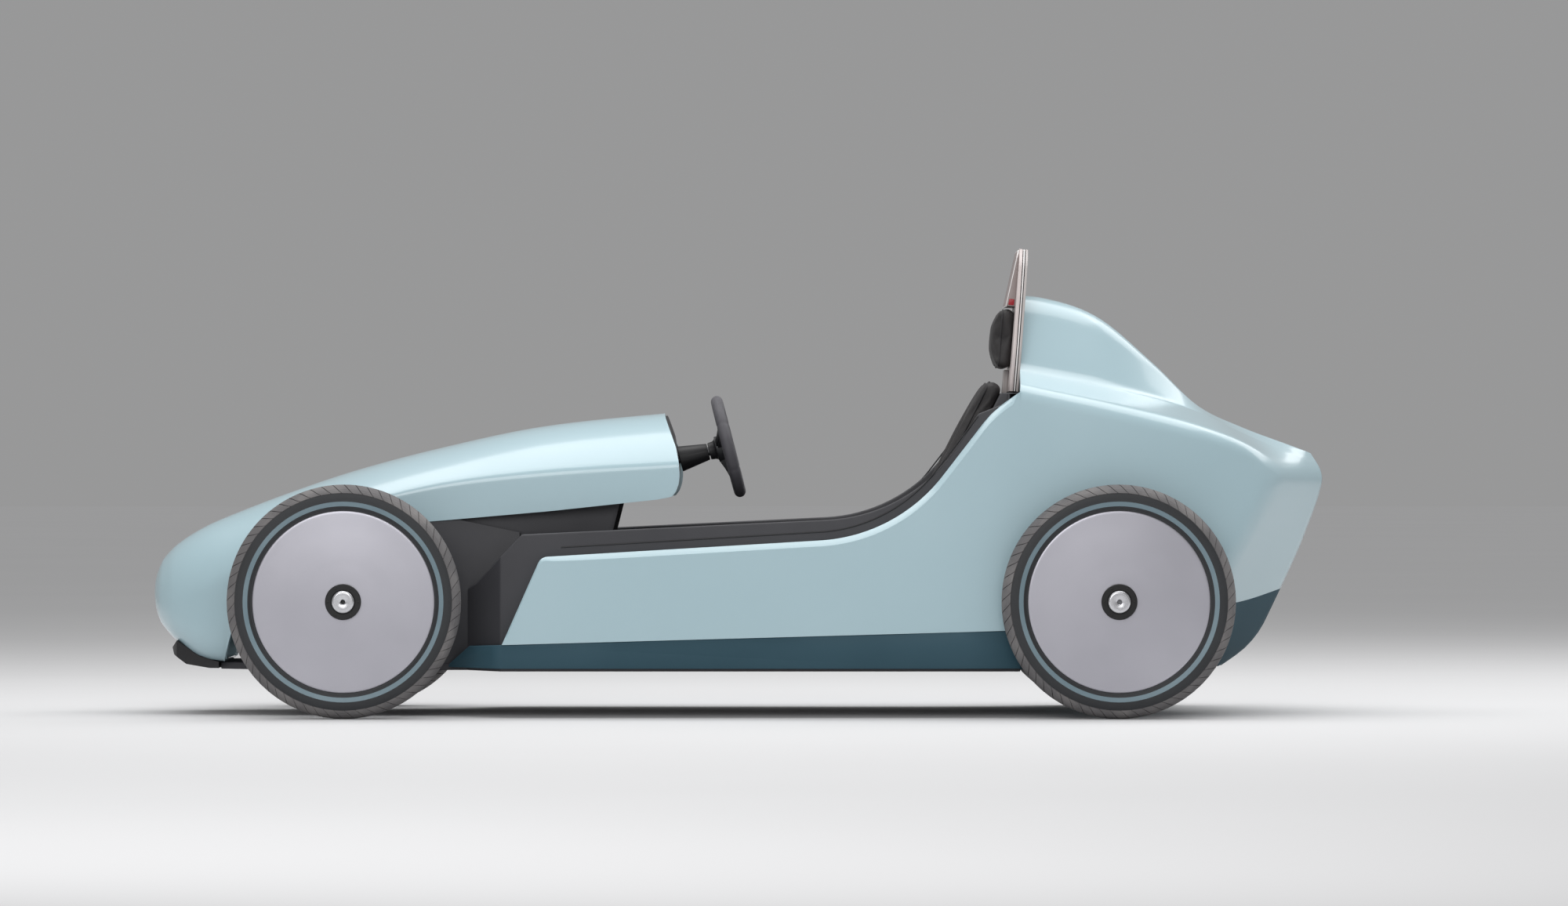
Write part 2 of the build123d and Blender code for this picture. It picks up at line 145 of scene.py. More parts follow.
def discFinish(name, look):  # turned in rings, read from the disc's own map
    disc = Finish(name, look, {"IOR": 1.5})
    rings = disc.noise(1.0, 3.0, disc.stretched(disc.node("ShaderNodeTexCoord", output="UV"), look["rings"]))
    cloud = disc.patches(look["cloudScale"], 2.0, 0.3, 0.7)
    return disc.done(cloud, rings, {
        "Metallic": look["metallic"] + 0.06 * (rings - 0.5), "Roughness": look["roughness"] + 0.12 * (rings - 0.5)})


def rubberFinish(name, look):
    rubber = Finish(name, look, {"Metallic": 0.0, "IOR": 1.5})
    grain = rubber.noise(look["grainScale"], 5.0)
    dust = rubber.patches(look["dustScale"], 4.0, 0.45, 0.75)
    return rubber.done(dust * look["dust"], grain, {
        "Roughness": look["roughness"] + 0.1 * dust + 0.1 * (grain - 0.5)})


def leatherFinish(name, look):
    hide = Finish(name, look, {"Metallic": 0.0, "IOR": 1.45, "Sheen Weight": 0.03, "Sheen Roughness": 0.4})
    pebble = hide.node("ShaderNodeTexVoronoi", {"feature": "DISTANCE_TO_EDGE"},
                       {"Vector": hide.place, "Scale": look["pebbleScale"]})
    crease = hide.ramp(pebble, 0.0, 0.12)
    wornPatch = hide.patches(look["wearScale"], 3.0, 0.45, 0.75)
    return hide.done(wornPatch, crease, {
        "Roughness": look["roughness"] - 0.1 * wornPatch + 0.12 * (1 - crease)}, 0.6)


finishes = {}


def addFinishes(kind, columns, rows):  # a row is a finish's name and its settings, in the columns' order
    for name, *values in rows:
        finishes[name] = kind(name, dict(zip(columns.split(), values)))


addFinishes(paintFinish, "colour shade roughness coat coatRoughness shine driftScale peelScale depth", [
    ("icePaint", (165, 190, 198), (160, 186, 194), 0.32, 0.9, 0.14, 0.5, 1.6, 320.0, 0.00006),
    ("tealPaint", (48, 79, 92), (43, 72, 84), 0.58, 0.16, 0.3, 0.25, 2.2, 300.0, 0.00006)])
addFinishes(plasticFinish, "colour shade roughness grainScale depth cloudScale", [
    ("charcoal", (58, 58, 62), (51, 51, 55), 0.52, 900.0, 0.00012, 3.0),
    ("blackPlastic", (30, 30, 32), (24, 24, 26), 0.42, 1100.0, 0.0001, 5.0),
    ("blackHub", (20, 20, 21), (15, 15, 16), 0.3, 1300.0, 0.00004, 9.0),
    ("palePlate", (176, 170, 168), (164, 158, 156), 0.32, 500.0, 0.00004, 6.0),
    ("rosyPlate", (198, 188, 186), (186, 176, 174), 0.3, 500.0, 0.00003, 6.0),
    ("dimPanel", (150, 138, 136), (136, 124, 122), 0.3, 500.0, 0.00003, 9.0),
    ("whiteEdge", (226, 223, 222), (212, 208, 207), 0.3, 700.0, 0.00003, 10.0),
    ("redLamp", (172, 34, 46), (148, 24, 36), 0.22, 300.0, 0.00005, 24.0)])
addFinishes(rubberFinish, "colour shade dust roughness grainScale depth dustScale", [
    ("blackRubber", (44, 43, 45), (64, 62, 63), 0.5, 0.62, 700.0, 0.00016, 6.0),
    ("tyreRubber", (36, 38, 41), (54, 56, 59), 0.45, 0.6, 420.0, 0.00018, 9.0),
    # the tread's colour and shade are lighter than the sidewall's rubber: a painted highlight of the top light and
    # sheen on the tread, with random dust patches on it
    ("treadRubber", (96, 94, 95), (126, 123, 122), 0.8, 0.72, 360.0, 0.0002, 14.0),
    ("stripe", (104, 124, 133), (122, 140, 148), 0.7, 0.5, 420.0, 0.0001, 9.0),
    ("thread", (96, 96, 100), (116, 116, 120), 0.6, 0.7, 2400.0, 0.0001, 40.0)])
addFinishes(discFinish, "colour shade metallic roughness rings depth cloudScale", [
    ("satinDisc", (182, 181, 189), (174, 173, 181), 0.72, 0.34, (2.0, 260.0, 1.0), 0.00004, 5.0),
    ("brightCap", (214, 214, 217), (204, 204, 208), 0.92, 0.26, (3.0, 400.0, 1.0), 0.000008, 20.0)])
addFinishes(metalFinish, "colour shade metallic roughness brush depth dullScale", [
    ("steel", (128, 129, 132), (104, 104, 107), 0.9, 0.36, (40.0, 600.0, 600.0), 0.00003, 16.0),
    ("frameBlack", (42, 43, 46), (34, 35, 37), 0.25, 0.46, (240.0, 240.0, 240.0), 0.00008, 12.0)])
addFinishes(leatherFinish, "colour shade roughness pebbleScale depth wearScale", [
    ("seatLeather", (40, 38, 39), (50, 48, 48), 0.54, 420.0, 0.00035, 7.0),
    ("gripLeather", (76, 75, 80), (88, 87, 92), 0.5, 520.0, 0.00025, 12.0),
    ("piping", (34, 33, 35), (46, 45, 47), 0.46, 700.0, 0.0001, 12.0)])
print("finishes made:", len(finishes))


def placed(name, data):
    made = bpy.data.objects.new(name, data)
    bpy.context.scene.collection.objects.link(made)
    return made


def piece(name, points, faces, edges=()):
    mesh = bpy.data.meshes.new(name)
    mesh.from_pydata([Vector(p) * mm for p in points], list(edges), faces)
    return placed(name, mesh)


def gridPiece(name, columns):
    height = len(columns[0])
    points = [p for column in columns for p in column]
    corners = [c * height + r for c in range(len(columns) - 1) for r in range(height - 1)]
    return piece(name, points, [(a, a + 1, a + height + 1, a + height) for a in corners])


def stacked(count, rings=2, base=0, looped=False):  # faces over rings of points, with two end faces or in a loop
    faces = []
    for r in range(rings if looped else rings - 1):
        near, far = base + r * count, base + (r + 1) % rings * count
        for k in range(count):
            on = (k + 1) % count
            faces.append((near + k, near + on, far + on, far + k))
    if not looped:
        last = base + (rings - 1) * count
        faces += [tuple(range(last, last + count)), tuple(range(base + count - 1, base - 1, -1))]
    return faces


def around(count):
    return [2 * math.pi * k / count for k in range(count)]


def ring(radius, count):
    return [(radius * math.cos(a), radius * math.sin(a)) for a in around(count)]


def leaning(at, angle):  # from a part's own frame to the shared one
    return Matrix.Translation(Vector(at) * mm) @ Matrix.Rotation(math.radians(angle), 4, "Y")


@contextmanager
def opened(made):  # the piece's mesh, open to edits
    shape = bmesh.new()
    shape.from_mesh(made.data)
    yield shape
    shape.to_mesh(made.data)
    shape.free()


def cleaned(made, inside=None):
    with opened(made) as shape:
        bmesh.ops.remove_doubles(shape, verts=shape.verts, dist=mergeGap)
        bmesh.ops.dissolve_degenerate(shape, dist=mergeGap / 2, edges=shape.edges)
        bmesh.ops.recalc_face_normals(shape, faces=shape.faces)
        if inside is not None:  # an open sheet has no inside, so one point tells which way is out
            middle = Vector(inside) * mm
            vote = sum((f.calc_center_median() - middle).dot(f.normal) * f.calc_area() for f in shape.faces)
            if vote < 0:
                bmesh.ops.reverse_faces(shape, faces=shape.faces)
    return made


def smoothed(made, angle):
    with opened(made) as shape:
        for face in shape.faces:
            face.smooth = True
        for edge in shape.edges:
            edge.smooth = len(edge.link_faces) == 2 and edge.calc_face_angle(0.0) < math.radians(angle)
    return made


def modified(made, kind, **settings):
    step = made.modifiers.new(kind.lower(), kind)
    for name, value in settings.items():
        setattr(step, name, value)
    return made


def shell(name, columns, inside, wall, offset=-1.0, even=False):  # a grid of points, given a wall
    made = cleaned(gridPiece(name, columns), inside)
    return modified(made, "SOLIDIFY", thickness=wall * mm, offset=offset, use_even_offset=even)


def bevelled(made, width, segments, angle=50, **settings):
    return modified(made, "BEVEL", width=width * mm, segments=segments, limit_method="ANGLE",
                    angle_limit=math.radians(angle), **settings)


def plain(made):
    graph = bpy.context.evaluated_depsgraph_get()
    mesh = bpy.data.meshes.new_from_object(made.evaluated_get(graph))
    made.modifiers.clear()
    made.data = mesh
    return made


def dressed(made, body, finish, slotName, *nodes):
    if finish:
        made.data.materials.clear()
        made.data.materials.append(finishes[finish])
    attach(made, body)
    if nodes:
        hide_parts(*nodes)
    return made


def skinned(made, angle, *dress):
    return dressed(smoothed(plain(made), angle), *dress)


def softCopy(node, name, width):
    made = placed(name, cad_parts[node].data.copy())
    with opened(made) as shape:
        bmesh.ops.remove_doubles(shape, verts=shape.verts, dist=mergeGap)
        bmesh.ops.dissolve_limit(shape, angle_limit=math.radians(0.6), verts=shape.verts, edges=shape.edges)
        for face in shape.faces:
            face.smooth = True
    return bevelled(made, width, segments=3, angle=30, harden_normals=True)


def tube(name, path, radius, up, closed=True, corners=10):  # round bead along a line
    points = []
    count = len(path)
    for k, spot in enumerate(path):
        before = path[k - 1] if closed or k else path[0]
        after = path[(k + 1) % count] if closed or k < count - 1 else path[-1]
        heading = (Vector(after) - Vector(before)).normalized()
        aside = heading.cross(Vector(up)).normalized()
        over = aside.cross(heading)
        points += [tuple(Vector(spot) + radius * (math.cos(a) * aside + math.sin(a) * over)) for a in around(corners)]
    return smoothed(cleaned(piece(name, points, stacked(corners, count, looped=closed))), 60)


def along(rows, x):  # the same easing between stations as the solids have
    for k in range(len(rows) - 1):
        if rows[k][0] >= x >= rows[k + 1][0] or k == len(rows) - 2 or (k == 0 and x > rows[0][0]):
            break
    first, last = rows[k], rows[k + 1]
    before, after = rows[max(k - 1, 0)], rows[min(k + 2, len(rows) - 1)]
    step = last[0] - first[0]
    t = (x - first[0]) / step
    near = 2 * t**3 - 3 * t**2 + 1
    lift = (t**3 - 2 * t**2 + t) * step
    drop = (t**3 - t**2) * step
    row = []
    for p, q, a, b in zip(first, last, before, after):
        startSlope = (q - a) / (last[0] - before[0])
        endSlope = (b - p) / (after[0] - first[0])
        row.append(near * p + (1 - near) * q + lift * startSlope + drop * endSlope)
    return row


def lineAt(points, value, key=0):  # broken line read at one coordinate
    for p, q in zip(points, points[1:]):
        low, high = sorted((p[key], q[key]))
        if low <= value <= high and p[key] != q[key]:
            t = (value - p[key]) / (q[key] - p[key])
            return p[1 - key] + t * (q[1 - key] - p[1 - key])
    end = min(points, key=lambda p: abs(p[key] - value))
    return end[1 - key]


def spread(path, count):  # evenly spaced points along a broken line
    lengths = [0.0]
    for p, q in zip(path, path[1:]):
        lengths.append(lengths[-1] + math.dist(p, q))
    out = []
    k = 0
    for i in range(count):
        want = lengths[-1] * i / (count - 1)
        while k < len(path) - 2 and lengths[k + 1] < want:
            k += 1
        run = lengths[k + 1] - lengths[k]
        t = (want - lengths[k]) / run if run else 0.0
        out.append(tuple(a + t * (b - a) for a, b in zip(path[k], path[k + 1])))
    return out


def rounded(points, radii, straight, bend):  # broken line with round corners, always the same number of points
    out = []
    start = points[0]
    for k in range(1, len(points) - 1):
        a, b, c = (Vector(p) for p in points[k - 1:k + 2])
        back, on = (a - b).normalized(), (c - b).normalized()
        half = math.acos(max(-1, min(1, back.dot(on)))) / 2
        reach = min(radii[k - 1] / math.tan(half), 0.48 * (a - b).length, 0.48 * (c - b).length)
        radius = reach * math.tan(half)
        middle = b + (back + on).normalized() * (radius / math.sin(half))
        first, last = b + back * reach, b + on * reach
        out += spread([start, tuple(first)], straight)[:-1]
        swing = (first - middle).angle_signed(last - middle)
        for i in range(bend):
            t = i / bend
            out.append(tuple(middle + Matrix.Rotation(-swing * t, 2) @ (first - middle)))
        start = tuple(last)
    return out + spread([start, points[-1]], straight)


hood = {
    "rows": [  # station, half width, bottom, crease, top, lower corner
        (1346, 60, 232, 266, 328, 36), (1340, 79, 218, 263, 343, 42), (1332, 98, 205, 260, 358, 48),
        (1300, 142, 172, 258, 391, 60), (1240, 180, 132, 280, 429, 60), (1170, 202, 121, 318, 460, 55),
        (1050, 215, 121, 400, 506, 55), (890, 222, 121, 476, 560, 55), (690, 228, 121, 529, 613, 55),
        (450, 245, 121, 558, 663, 55), (110, 264, 121, 579, 699, 55)],
    "hem": [(1182, 121), (1180, 122), (1172, 150), (1158, 200), (1140, 252), (1116, 300), (1086, 338), (1046, 369),
            (990, 396), (920, 418), (850, 434), (684, 446), (433, 468), (182, 495), (100, 512)],
    "rear": [(182, 730), (168, 683), (143, 615), (136, 580), (134, 550), (136, 531), (142, 515), (152, 504),
             (168, 496)],
    "stations": [
        1346, 1344, 1341, 1338, 1335, 1332, 1328, 1322, 1315, 1308, 1300, 1285, 1270, 1255, 1240, 1225, 1210, 1196,
        1184, 1182, 1180, 1176, 1171, 1167, 1160, 1150, 1140, 1130, 1120, 1110, 1100, 1090, 1078, 1065, 1052, 1040,
        *range(1020, 139, -20), 134],
    "nose": (1354, 282), "domeRings": 10, "inside": (700, 0, 300), "wall": 6, "edgeRound": 1.6,
    "bellyPoints": 8, "cornerPoints": 10, "sidePoints": 16, "archPoints": 30, "blendFrom": 340}


def hoodSide(x):
    half, low, crease, top, corner = along(hood["rows"], x)[1:]
    turns = [math.pi / 2 * i / hood["cornerPoints"] for i in range(hood["cornerPoints"] + 1)]
    path = [(half - corner + corner * math.sin(a), low + corner - corner * math.cos(a)) for a in turns]
    belly = spread([(0.0, low), path[0]], hood["bellyPoints"])
    path.append((half, crease))
    if x < hood["hem"][0][0]:
        cut = lineAt(hood["hem"], x)
        kept = [p for p in path if p[1] > cut + 0.5]
        below = path[max(0, len(path) - len(kept) - 1)]
        t = (cut - below[1]) / ((kept[0][1] - below[1]) or 1.0)
        path = [(below[0] + t * (kept[0][0] - below[0]), cut)] + kept
        belly = [path[0]] * hood["bellyPoints"]  # open below from the wheel arch on
    rise = top - crease
    radius = (half**2 + rise**2) / (2 * rise)
    swing = math.atan2(half, radius - rise)
    side = belly[:-1] + spread(path, hood["sidePoints"])
    for i in range(1, hood["archPoints"] + 1):
        a = swing * (1 - i / hood["archPoints"])
        side.append((radius * math.sin(a), top - radius + radius * math.cos(a)))
    for turn in range(2):  # eases the crease into a soft shoulder
        inner = [tuple(0.25 * a + 0.5 * b + 0.25 * c for a, b, c in zip(*side[k - 1:k + 2]))
                 for k in range(1, len(side) - 1)]
        side = [side[0]] + inner + [side[-1]]
    return side


def hoodColumn(x):
    side = hoodSide(x)
    if x >= hood["blendFrom"]:
        left = [(x, y, z) for y, z in side]
    else:  # the last columns bend to follow the slanted rear edge
        share = (hood["blendFrom"] - x) / (hood["blendFrom"] - hood["stations"][-1])
        left = []
        for k, (y, z) in enumerate(side):
            place = hood["blendFrom"] - share * (hood["blendFrom"] - lineAt(hood["rear"], z, 1))
            left.append((place, *hoodSide(place)[k]))
    return left + [(x, -y, z) for x, y, z in reversed(left[:-1])]


def makeHood():
    noseX, noseZ = hood["nose"]
    front = hoodColumn(hood["stations"][0])
    columns = []
    for i in range(hood["domeRings"]):  # the nose closes as a shallow dome
        share = i / hood["domeRings"]
        columns.append([(noseX + (x - noseX) * share**2, y * share, noseZ + (z - noseZ) * share) for x, y, z in front])
    columns += [hoodColumn(x) for x in hood["stations"]]
    made = shell("bonnetSkin", columns, hood["inside"], hood["wall"], even=True)
    skinned(bevelled(made, hood["edgeRound"], segments=2), 40, "chassis", "icePaint", "ice_paint", "bonnet")


makeHood()
print("bonnet skinned")

tail = {
    "outer": 365, "front": -640, "leanFoot": 741, "lean": 4.72, "low": 109, "footInset": (24, 40), "footRound": 10,
    "rows": [  # station, side inset, seam, shoulder inset and height, valley, crown, rounds
        (-590, 8, 193, 19, 764, 205, 800, 112, 965, 46, 50, 80),
        (-699.4, 19, 206, 31, 738, 192, 782, 102, 960, 46, 50, 80),
        (-829.2, 24, 222, 39, 711, 168, 757, 84, 915, 46, 50, 70),
        (-960, 30, 238, 49, 682, 128, 727, 58, 806, 44, 40, 44),
        (-1060, 45, 250, 65, 655, 108, 695, 42, 711, 40, 30, 30),
        (-1160, 77, 262, 99, 618, 96, 648, 36, 662, 34, 30, 30),
        (-1270, 135, 291, 161, 545, 84, 600, 32, 621, 30, 30, 30),
        (-1380, 215, 320, 243, 470, 60, 560, 26, 580, 24, 24, 24)],
    "stern": [(-1250, 1200), (-1300, 640), (-1336, 583), (-1352, 560), (-1354, 545), (-1350, 525), (-1336, 479),
              (-1298, 380), (-1254, 285), (-1207, 187), (-1163, 137), (-1114, 109), (-1060, 60)],
    "shifts": (-20, -12, -4, 4, 12, 20), "search": (-900.0, -1379.0), "halvings": 40, "sweep": 0.55,
    "soft": 34, "bellyPoints": 12, "leastHalf": 22.0, "cornerReach": 1.25, "lastCorner": -700.0, "steps": (40, 26)}


def tailSide(x):
    row = along(tail["rows"], x)
    side, seam, shoulder, shoulderZ, valley, valleyZ, crown, crownZ = row[1:9]
    points = [(tail["outer"] - side, seam), (tail["outer"] - shoulder, shoulderZ), (valley, valleyZ), (crown, crownZ),
              (0.0, crownZ + 0.001)]
    return rounded(points, row[9:], straight=12, bend=9)


def diffuserSide(x):
    side, seam = along(tail["rows"], x)[1:3]
    half, low = tail["outer"] - side, tail["low"]
    foot, toe = tail["footInset"]
    return rounded([(half, seam), (half - foot, low), (half - toe, low)], [tail["footRound"]], straight=10, bend=5)


def leanFront(z):
    return tail["front"] - max(0.0, z - tail["leanFoot"]) * math.tan(math.radians(tail["lean"]))


def softLeast(a, b):
    k = min(tail["soft"], 0.6 * a) + 0.001
    h = max(0.0, min(1.0, 0.5 + 0.5 * (b - a) / k))
    return b * (1 - h) + a * h - k * h * (1 - h)


def sternAt(z):  # the mean of shifted readings rounds the line's corners
    return sum(lineAt(tail["stern"], z + shift, 1) for shift in tail["shifts"]) / len(tail["shifts"])


def sternGrid(section, frontRow, across):
    rows = []
    foremost = section(tail["front"])
    runSteps, turnSteps = tail["steps"]
    for j in range(len(foremost)):
        near, far = tail["search"]
        for turn in range(tail["halvings"]):  # where this line of the skin meets the stern's centre line
            middle = (near + far) / 2
            if middle > sternAt(section(middle)[j][1]):
                near = middle
            else:
                far = middle
        end = (near + far) / 2
        start = frontRow(foremost[j][1])
        wide = max(section(end)[j][0], tail["leastHalf"])
        corner = min(end + tail["sweep"] * wide * tail["cornerReach"], tail["lastCorner"])
        stations = [start + (corner - start) * i / runSteps for i in range(runSteps)]
        stations += [corner + (end - corner) * i / turnSteps for i in range(turnSteps + 1)]
        row = []
        for x in stations:
            y, z = section(x)[j]
            room = max(0.0, (x - sternAt(z)) / tail["sweep"])
            row.append((x, softLeast(y, room) if y > 0.01 else 0.0, z))
        row[-1] = (row[-1][0], 0.0, row[-1][2])
        rows.append(row)
    bottom = [[(x, y * (1 - 2 * k / across), z) for x, y, z in rows[-1]] for k in range(1, across)]
    other = rows if across else rows[:-1]
    return rows + bottom + [[(x, -y, z) for x, y, z in row] for row in reversed(other)]


def makeTail():
    shells = [  # piece, its grid, a point inside, wall, then body, finish, slot and node
        ("tailSkin", sternGrid(tailSide, leanFront, 0), (-900, 0, 450), 8,
         "chassis", "icePaint", "ice_paint", "tail_shell"),
        ("diffuserSkin", sternGrid(diffuserSide, lambda z: tail["front"], tail["bellyPoints"]), (-850, 0, 230), 2,
         "chassis", "tealPaint", "teal_paint", "diffuser")]
    for name, grid, inside, wall, *dress in shells:
        skinned(shell(name, grid, inside, wall), 62, *dress)


makeTail()
print("tail and diffuser skinned")

flank = {
    "rows": [(600, 0, 0), (-250, 0, 2), (-450, 1, 7), (-590, 8, 19), (-640, 13.5, 24.5)],  # station, two insets
    "outer": 365, "inner": 335, "seam": 199, "shoulder": 752, "rear": -640, "foot": [(535, 166), (-640, 199)],
    "edge": [(535, 166), (447, 365), (-359, 413), (-578, 697), (-640, 740)], "edgeRounds": [24, 432, 333],
    "frontStations": [535, 531, 525, 517, 508, 498, 488, 478, 469, 462, 457, 453, 449, 445, 441, 436, 430, 424],
    "columns": 64, "levels": 14, "nearEdge": 22, "lip": 13, "lipEnd": 430, "lipRise": 16, "lipClear": 3,
    "frontWeight": 0.3, "trimSpan": (-560, 432), "trimRise": 19, "trim": 1.7}
flankEdge = rounded(flank["edge"], flank["edgeRounds"], straight=40, bend=60)


def lipWeight(edge):  # only the outer edge above the sill is rolled over, less at the front
    spots = [v.co / mm for v in edge.verts]
    sharp = len(edge.link_faces) == 2 and edge.calc_face_angle(0.0) > math.radians(40)
    outside = all(abs(p.y) > flank["inner"] + flank["lipClear"] for p in spots)
    above = all(p.z > lineAt(flank["foot"], p.x) + flank["lipRise"] for p in spots)
    if sharp and outside and above and min(p.x for p in spots) > flank["rear"] + 0.5:
        return 1.0 if max(p.x for p in spots) < flank["lipEnd"] else flank["frontWeight"]
    return 0.0


def makeFlank(side, word):
    front = flank["frontStations"][-1]
    stations = [front + (flank["rear"] - front) * k / flank["columns"] for k in range(1, flank["columns"] + 1)]
    columns = []
    for x in flank["frontStations"] + stations:
        low = lineAt(flank["foot"], x)
        high = max(lineAt(flankEdge, x), low + 0.5)
        nearTop = max(high - flank["nearEdge"], low + 0.6 * (high - low))
        inset, topInset = along(flank["rows"], x)[1:]
        slope = (topInset - inset) / (flank["shoulder"] - flank["seam"])
        levels = [low + (nearTop - low) * i / flank["levels"] for i in range(flank["levels"] + 1)] + [high]
        columns.append([(x, side * (flank["outer"] - inset - slope * (z - flank["seam"])), z) for z in levels])
    made = cleaned(gridPiece("flank" + word, columns), (-50, side * 200, 300))
    with opened(made) as shape:  # the wall is pulled straight in to the tub
        edges = [e for e in shape.edges if e.is_boundary]
        pulled = bmesh.ops.extrude_edge_only(shape, edges=edges)["geom"]
        for vert in [v for v in pulled if isinstance(v, bmesh.types.BMVert)]:
            vert.co.y = side * flank["inner"] * mm
        bmesh.ops.contextual_create(shape, geom=[e for e in shape.edges if e.is_boundary])
        bmesh.ops.recalc_face_normals(shape, faces=shape.faces)
        weight = shape.edges.layers.float.new("bevel_weight_edge")
        for edge in shape.edges:
            edge[weight] = lipWeight(edge)
    modified(made, "BEVEL", width=flank["lip"] * mm, segments=3, limit_method="WEIGHT", profile=0.3,
             use_clamp_overlap=False)
    skinned(made, 30, "chassis", "icePaint", "ice_paint", "side_panel_" + word.lower())


def makeTubTrim(side, word):  # dark line along the tub, a little above the panel's lip
    last, first = flank["trimSpan"]
    outline = [p for p in flankEdge if last < p[0] < first]
    path = []
    for before, spot, after in zip(outline, outline[1:], outline[2:]):
        heading = Vector((after[0] - before[0], after[1] - before[1])).normalized() * flank["trimRise"]
        path.append((spot[0] + heading.y, side * flank["inner"], spot[1] - heading.x))
    bead = tube("tubTrim" + word, spread(path, 120), flank["trim"], (0.0, 1.0, 0.0), closed=False, corners=8)
    dressed(bead, "chassis", "blackPlastic", "black_plastic")


for side, word in handed:
    makeFlank(side, word)
    makeTubTrim(side, word)
print("side panels skinned")

liners = {"guardSide": 213, "guardFront": 648, "guardRear": (242, 292), "guardFoot": 404, "guardGap": 1.5,
          "guardGrid": (30, 8), "thick": 3.0, "edgeRound": 0.8, "shelf": (-611, 736), "shelfHalf": 332, "shelfStep": 3,
          "apronHalf": 333, "apronDrop": 56, "apronBack": 2, "tailBack": 7.0, "tailInset": 10.0, "tailGrid": (24, 24)}


def hoodUnder(x):  # height of the bonnet's inner skin over a leg guard
    arch = hoodSide(x)[-hood["archPoints"] - 1:]
    return lineAt(arch, liners["guardSide"]) - hood["wall"] - liners["guardGap"]


def makeGuard(side, word):
    top, foot = liners["guardRear"]
    front, low = liners["guardFront"], liners["guardFoot"]
    runs, rises = liners["guardGrid"]
    columns = []
    for k in range(runs + 1):
        column = []
        for share in (i / rises for i in range(rises + 1)):
            x = front + (foot + (top - foot) * share - front) * k / runs
            column.append((x, side * liners["guardSide"], low + share * (hoodUnder(x) - low)))
        columns.append(column)
    guard = shell("legGuard" + word, columns, (400, 0, 500), liners["thick"], offset=0.0)
    skinned(bevelled(guard, liners["edgeRound"], segments=2), 40, "chassis", "charcoal", "charcoal")


def makeTailLiner():
    edge = tailSide(tail["front"] - 8)
    shelfX, shelfZ = liners["shelf"]
    back, step = liners["apronBack"], liners["shelfStep"]
    rows = [(shelfX - back, shelfZ - liners["apronDrop"], liners["apronHalf"]),
            (shelfX - back, shelfZ - step, liners["apronHalf"]), (shelfX, shelfZ, liners["shelfHalf"]),
            (leanFront(shelfZ) - back, shelfZ + step, liners["shelfHalf"])]
    foot, crown = shelfZ + 2 * step, max(z for y, z in edge) - liners["tailInset"]
    rises, halves = liners["tailGrid"]
    for k in range(1, rises + 1):
        z = foot + (crown - foot) * k / rises
        rows.append((leanFront(z) - liners["tailBack"], z, lineAt(edge, z, 1) - liners["tailInset"]))
    columns = [[(x, half * (2 * i / halves - 1), z) for i in range(halves + 1)] for x, z, half in rows]
    panel = shell("tailLiner", columns, (-900, 0, 700), liners["thick"])
    skinned(panel, 40, "chassis", "charcoal", "charcoal")


for side, word in handed:
    makeGuard(side, word)
makeTailLiner()
print("leg guards and tail liner fitted")

softBodies = [  # body, finish and slot, with the node, new piece and edge round of each
    ("chassis", "tealPaint", "teal_paint", [("sills", "sillPair", 3.0)]),
    ("chassis", "charcoal", "charcoal", [
        ("tub_wall_left", "tubLeft", 4.0), ("tub_wall_right", "tubRight", 4.0), ("footwell", "footwellShell", 2.5),
        ("floor_pan", "floorPan", 2.0), ("seat_bulkhead", "seatBulkhead", 3.0)]),
    ("chassis", "blackPlastic", "black_plastic", [
        ("front_bumper", "noseBlade", 3.0), ("dash_panel", "dashPanel", 1.2), ("column_shroud", "columnShroud", 1.5),
        ("battery_pack", "batteryCase", 5.0)]),
    ("chassis", "frameBlack", "black_plastic", [
        ("drive_motor", "motorCan", 3.0), ("pedal_unit", "generatorCase", 2.5)]),
    ("chassis", "palePlate", "steel", [("headrest_bracket", "headBracket", 2.0)]),
    ("chassis", "frameBlack", "steel", [("front_axle", "frontBeam", 1.2)]),
    ("chassis", "steel", "steel", [("rear_axle", "rearBeam", 1.2)]),
    ("steering", "frameBlack", "steel", [("steering_spokes", "spokePlate", 1.5)]),
    ("steering", "steel", "steel", [("steering_shaft", "columnShaft", 0.8)]),
    ("steer_left", "frameBlack", "steel", [("knuckle_left", "knuckleLeft", 1.2)]),
    ("steer_right", "frameBlack", "steel", [("knuckle_right", "knuckleRight", 1.2)]),
    ("link", "steel", "steel", [("track_rod", "trackRod", 0.8)]),
    ("cranks", "steel", "steel", [("crank", "crankSet", 1.2)]),
    ("foot_left", "blackRubber", "black_rubber", [("pedal_left", "footLeft", 2.0)]),
    ("foot_right", "blackRubber", "black_rubber", [("pedal_right", "footRight", 2.0)]),
]
for *dress, nodes in softBodies:
    for node, name, width in nodes:
        skinned(softCopy(node, name, width), 40, *dress, node)
print("moulded and turned pieces made")


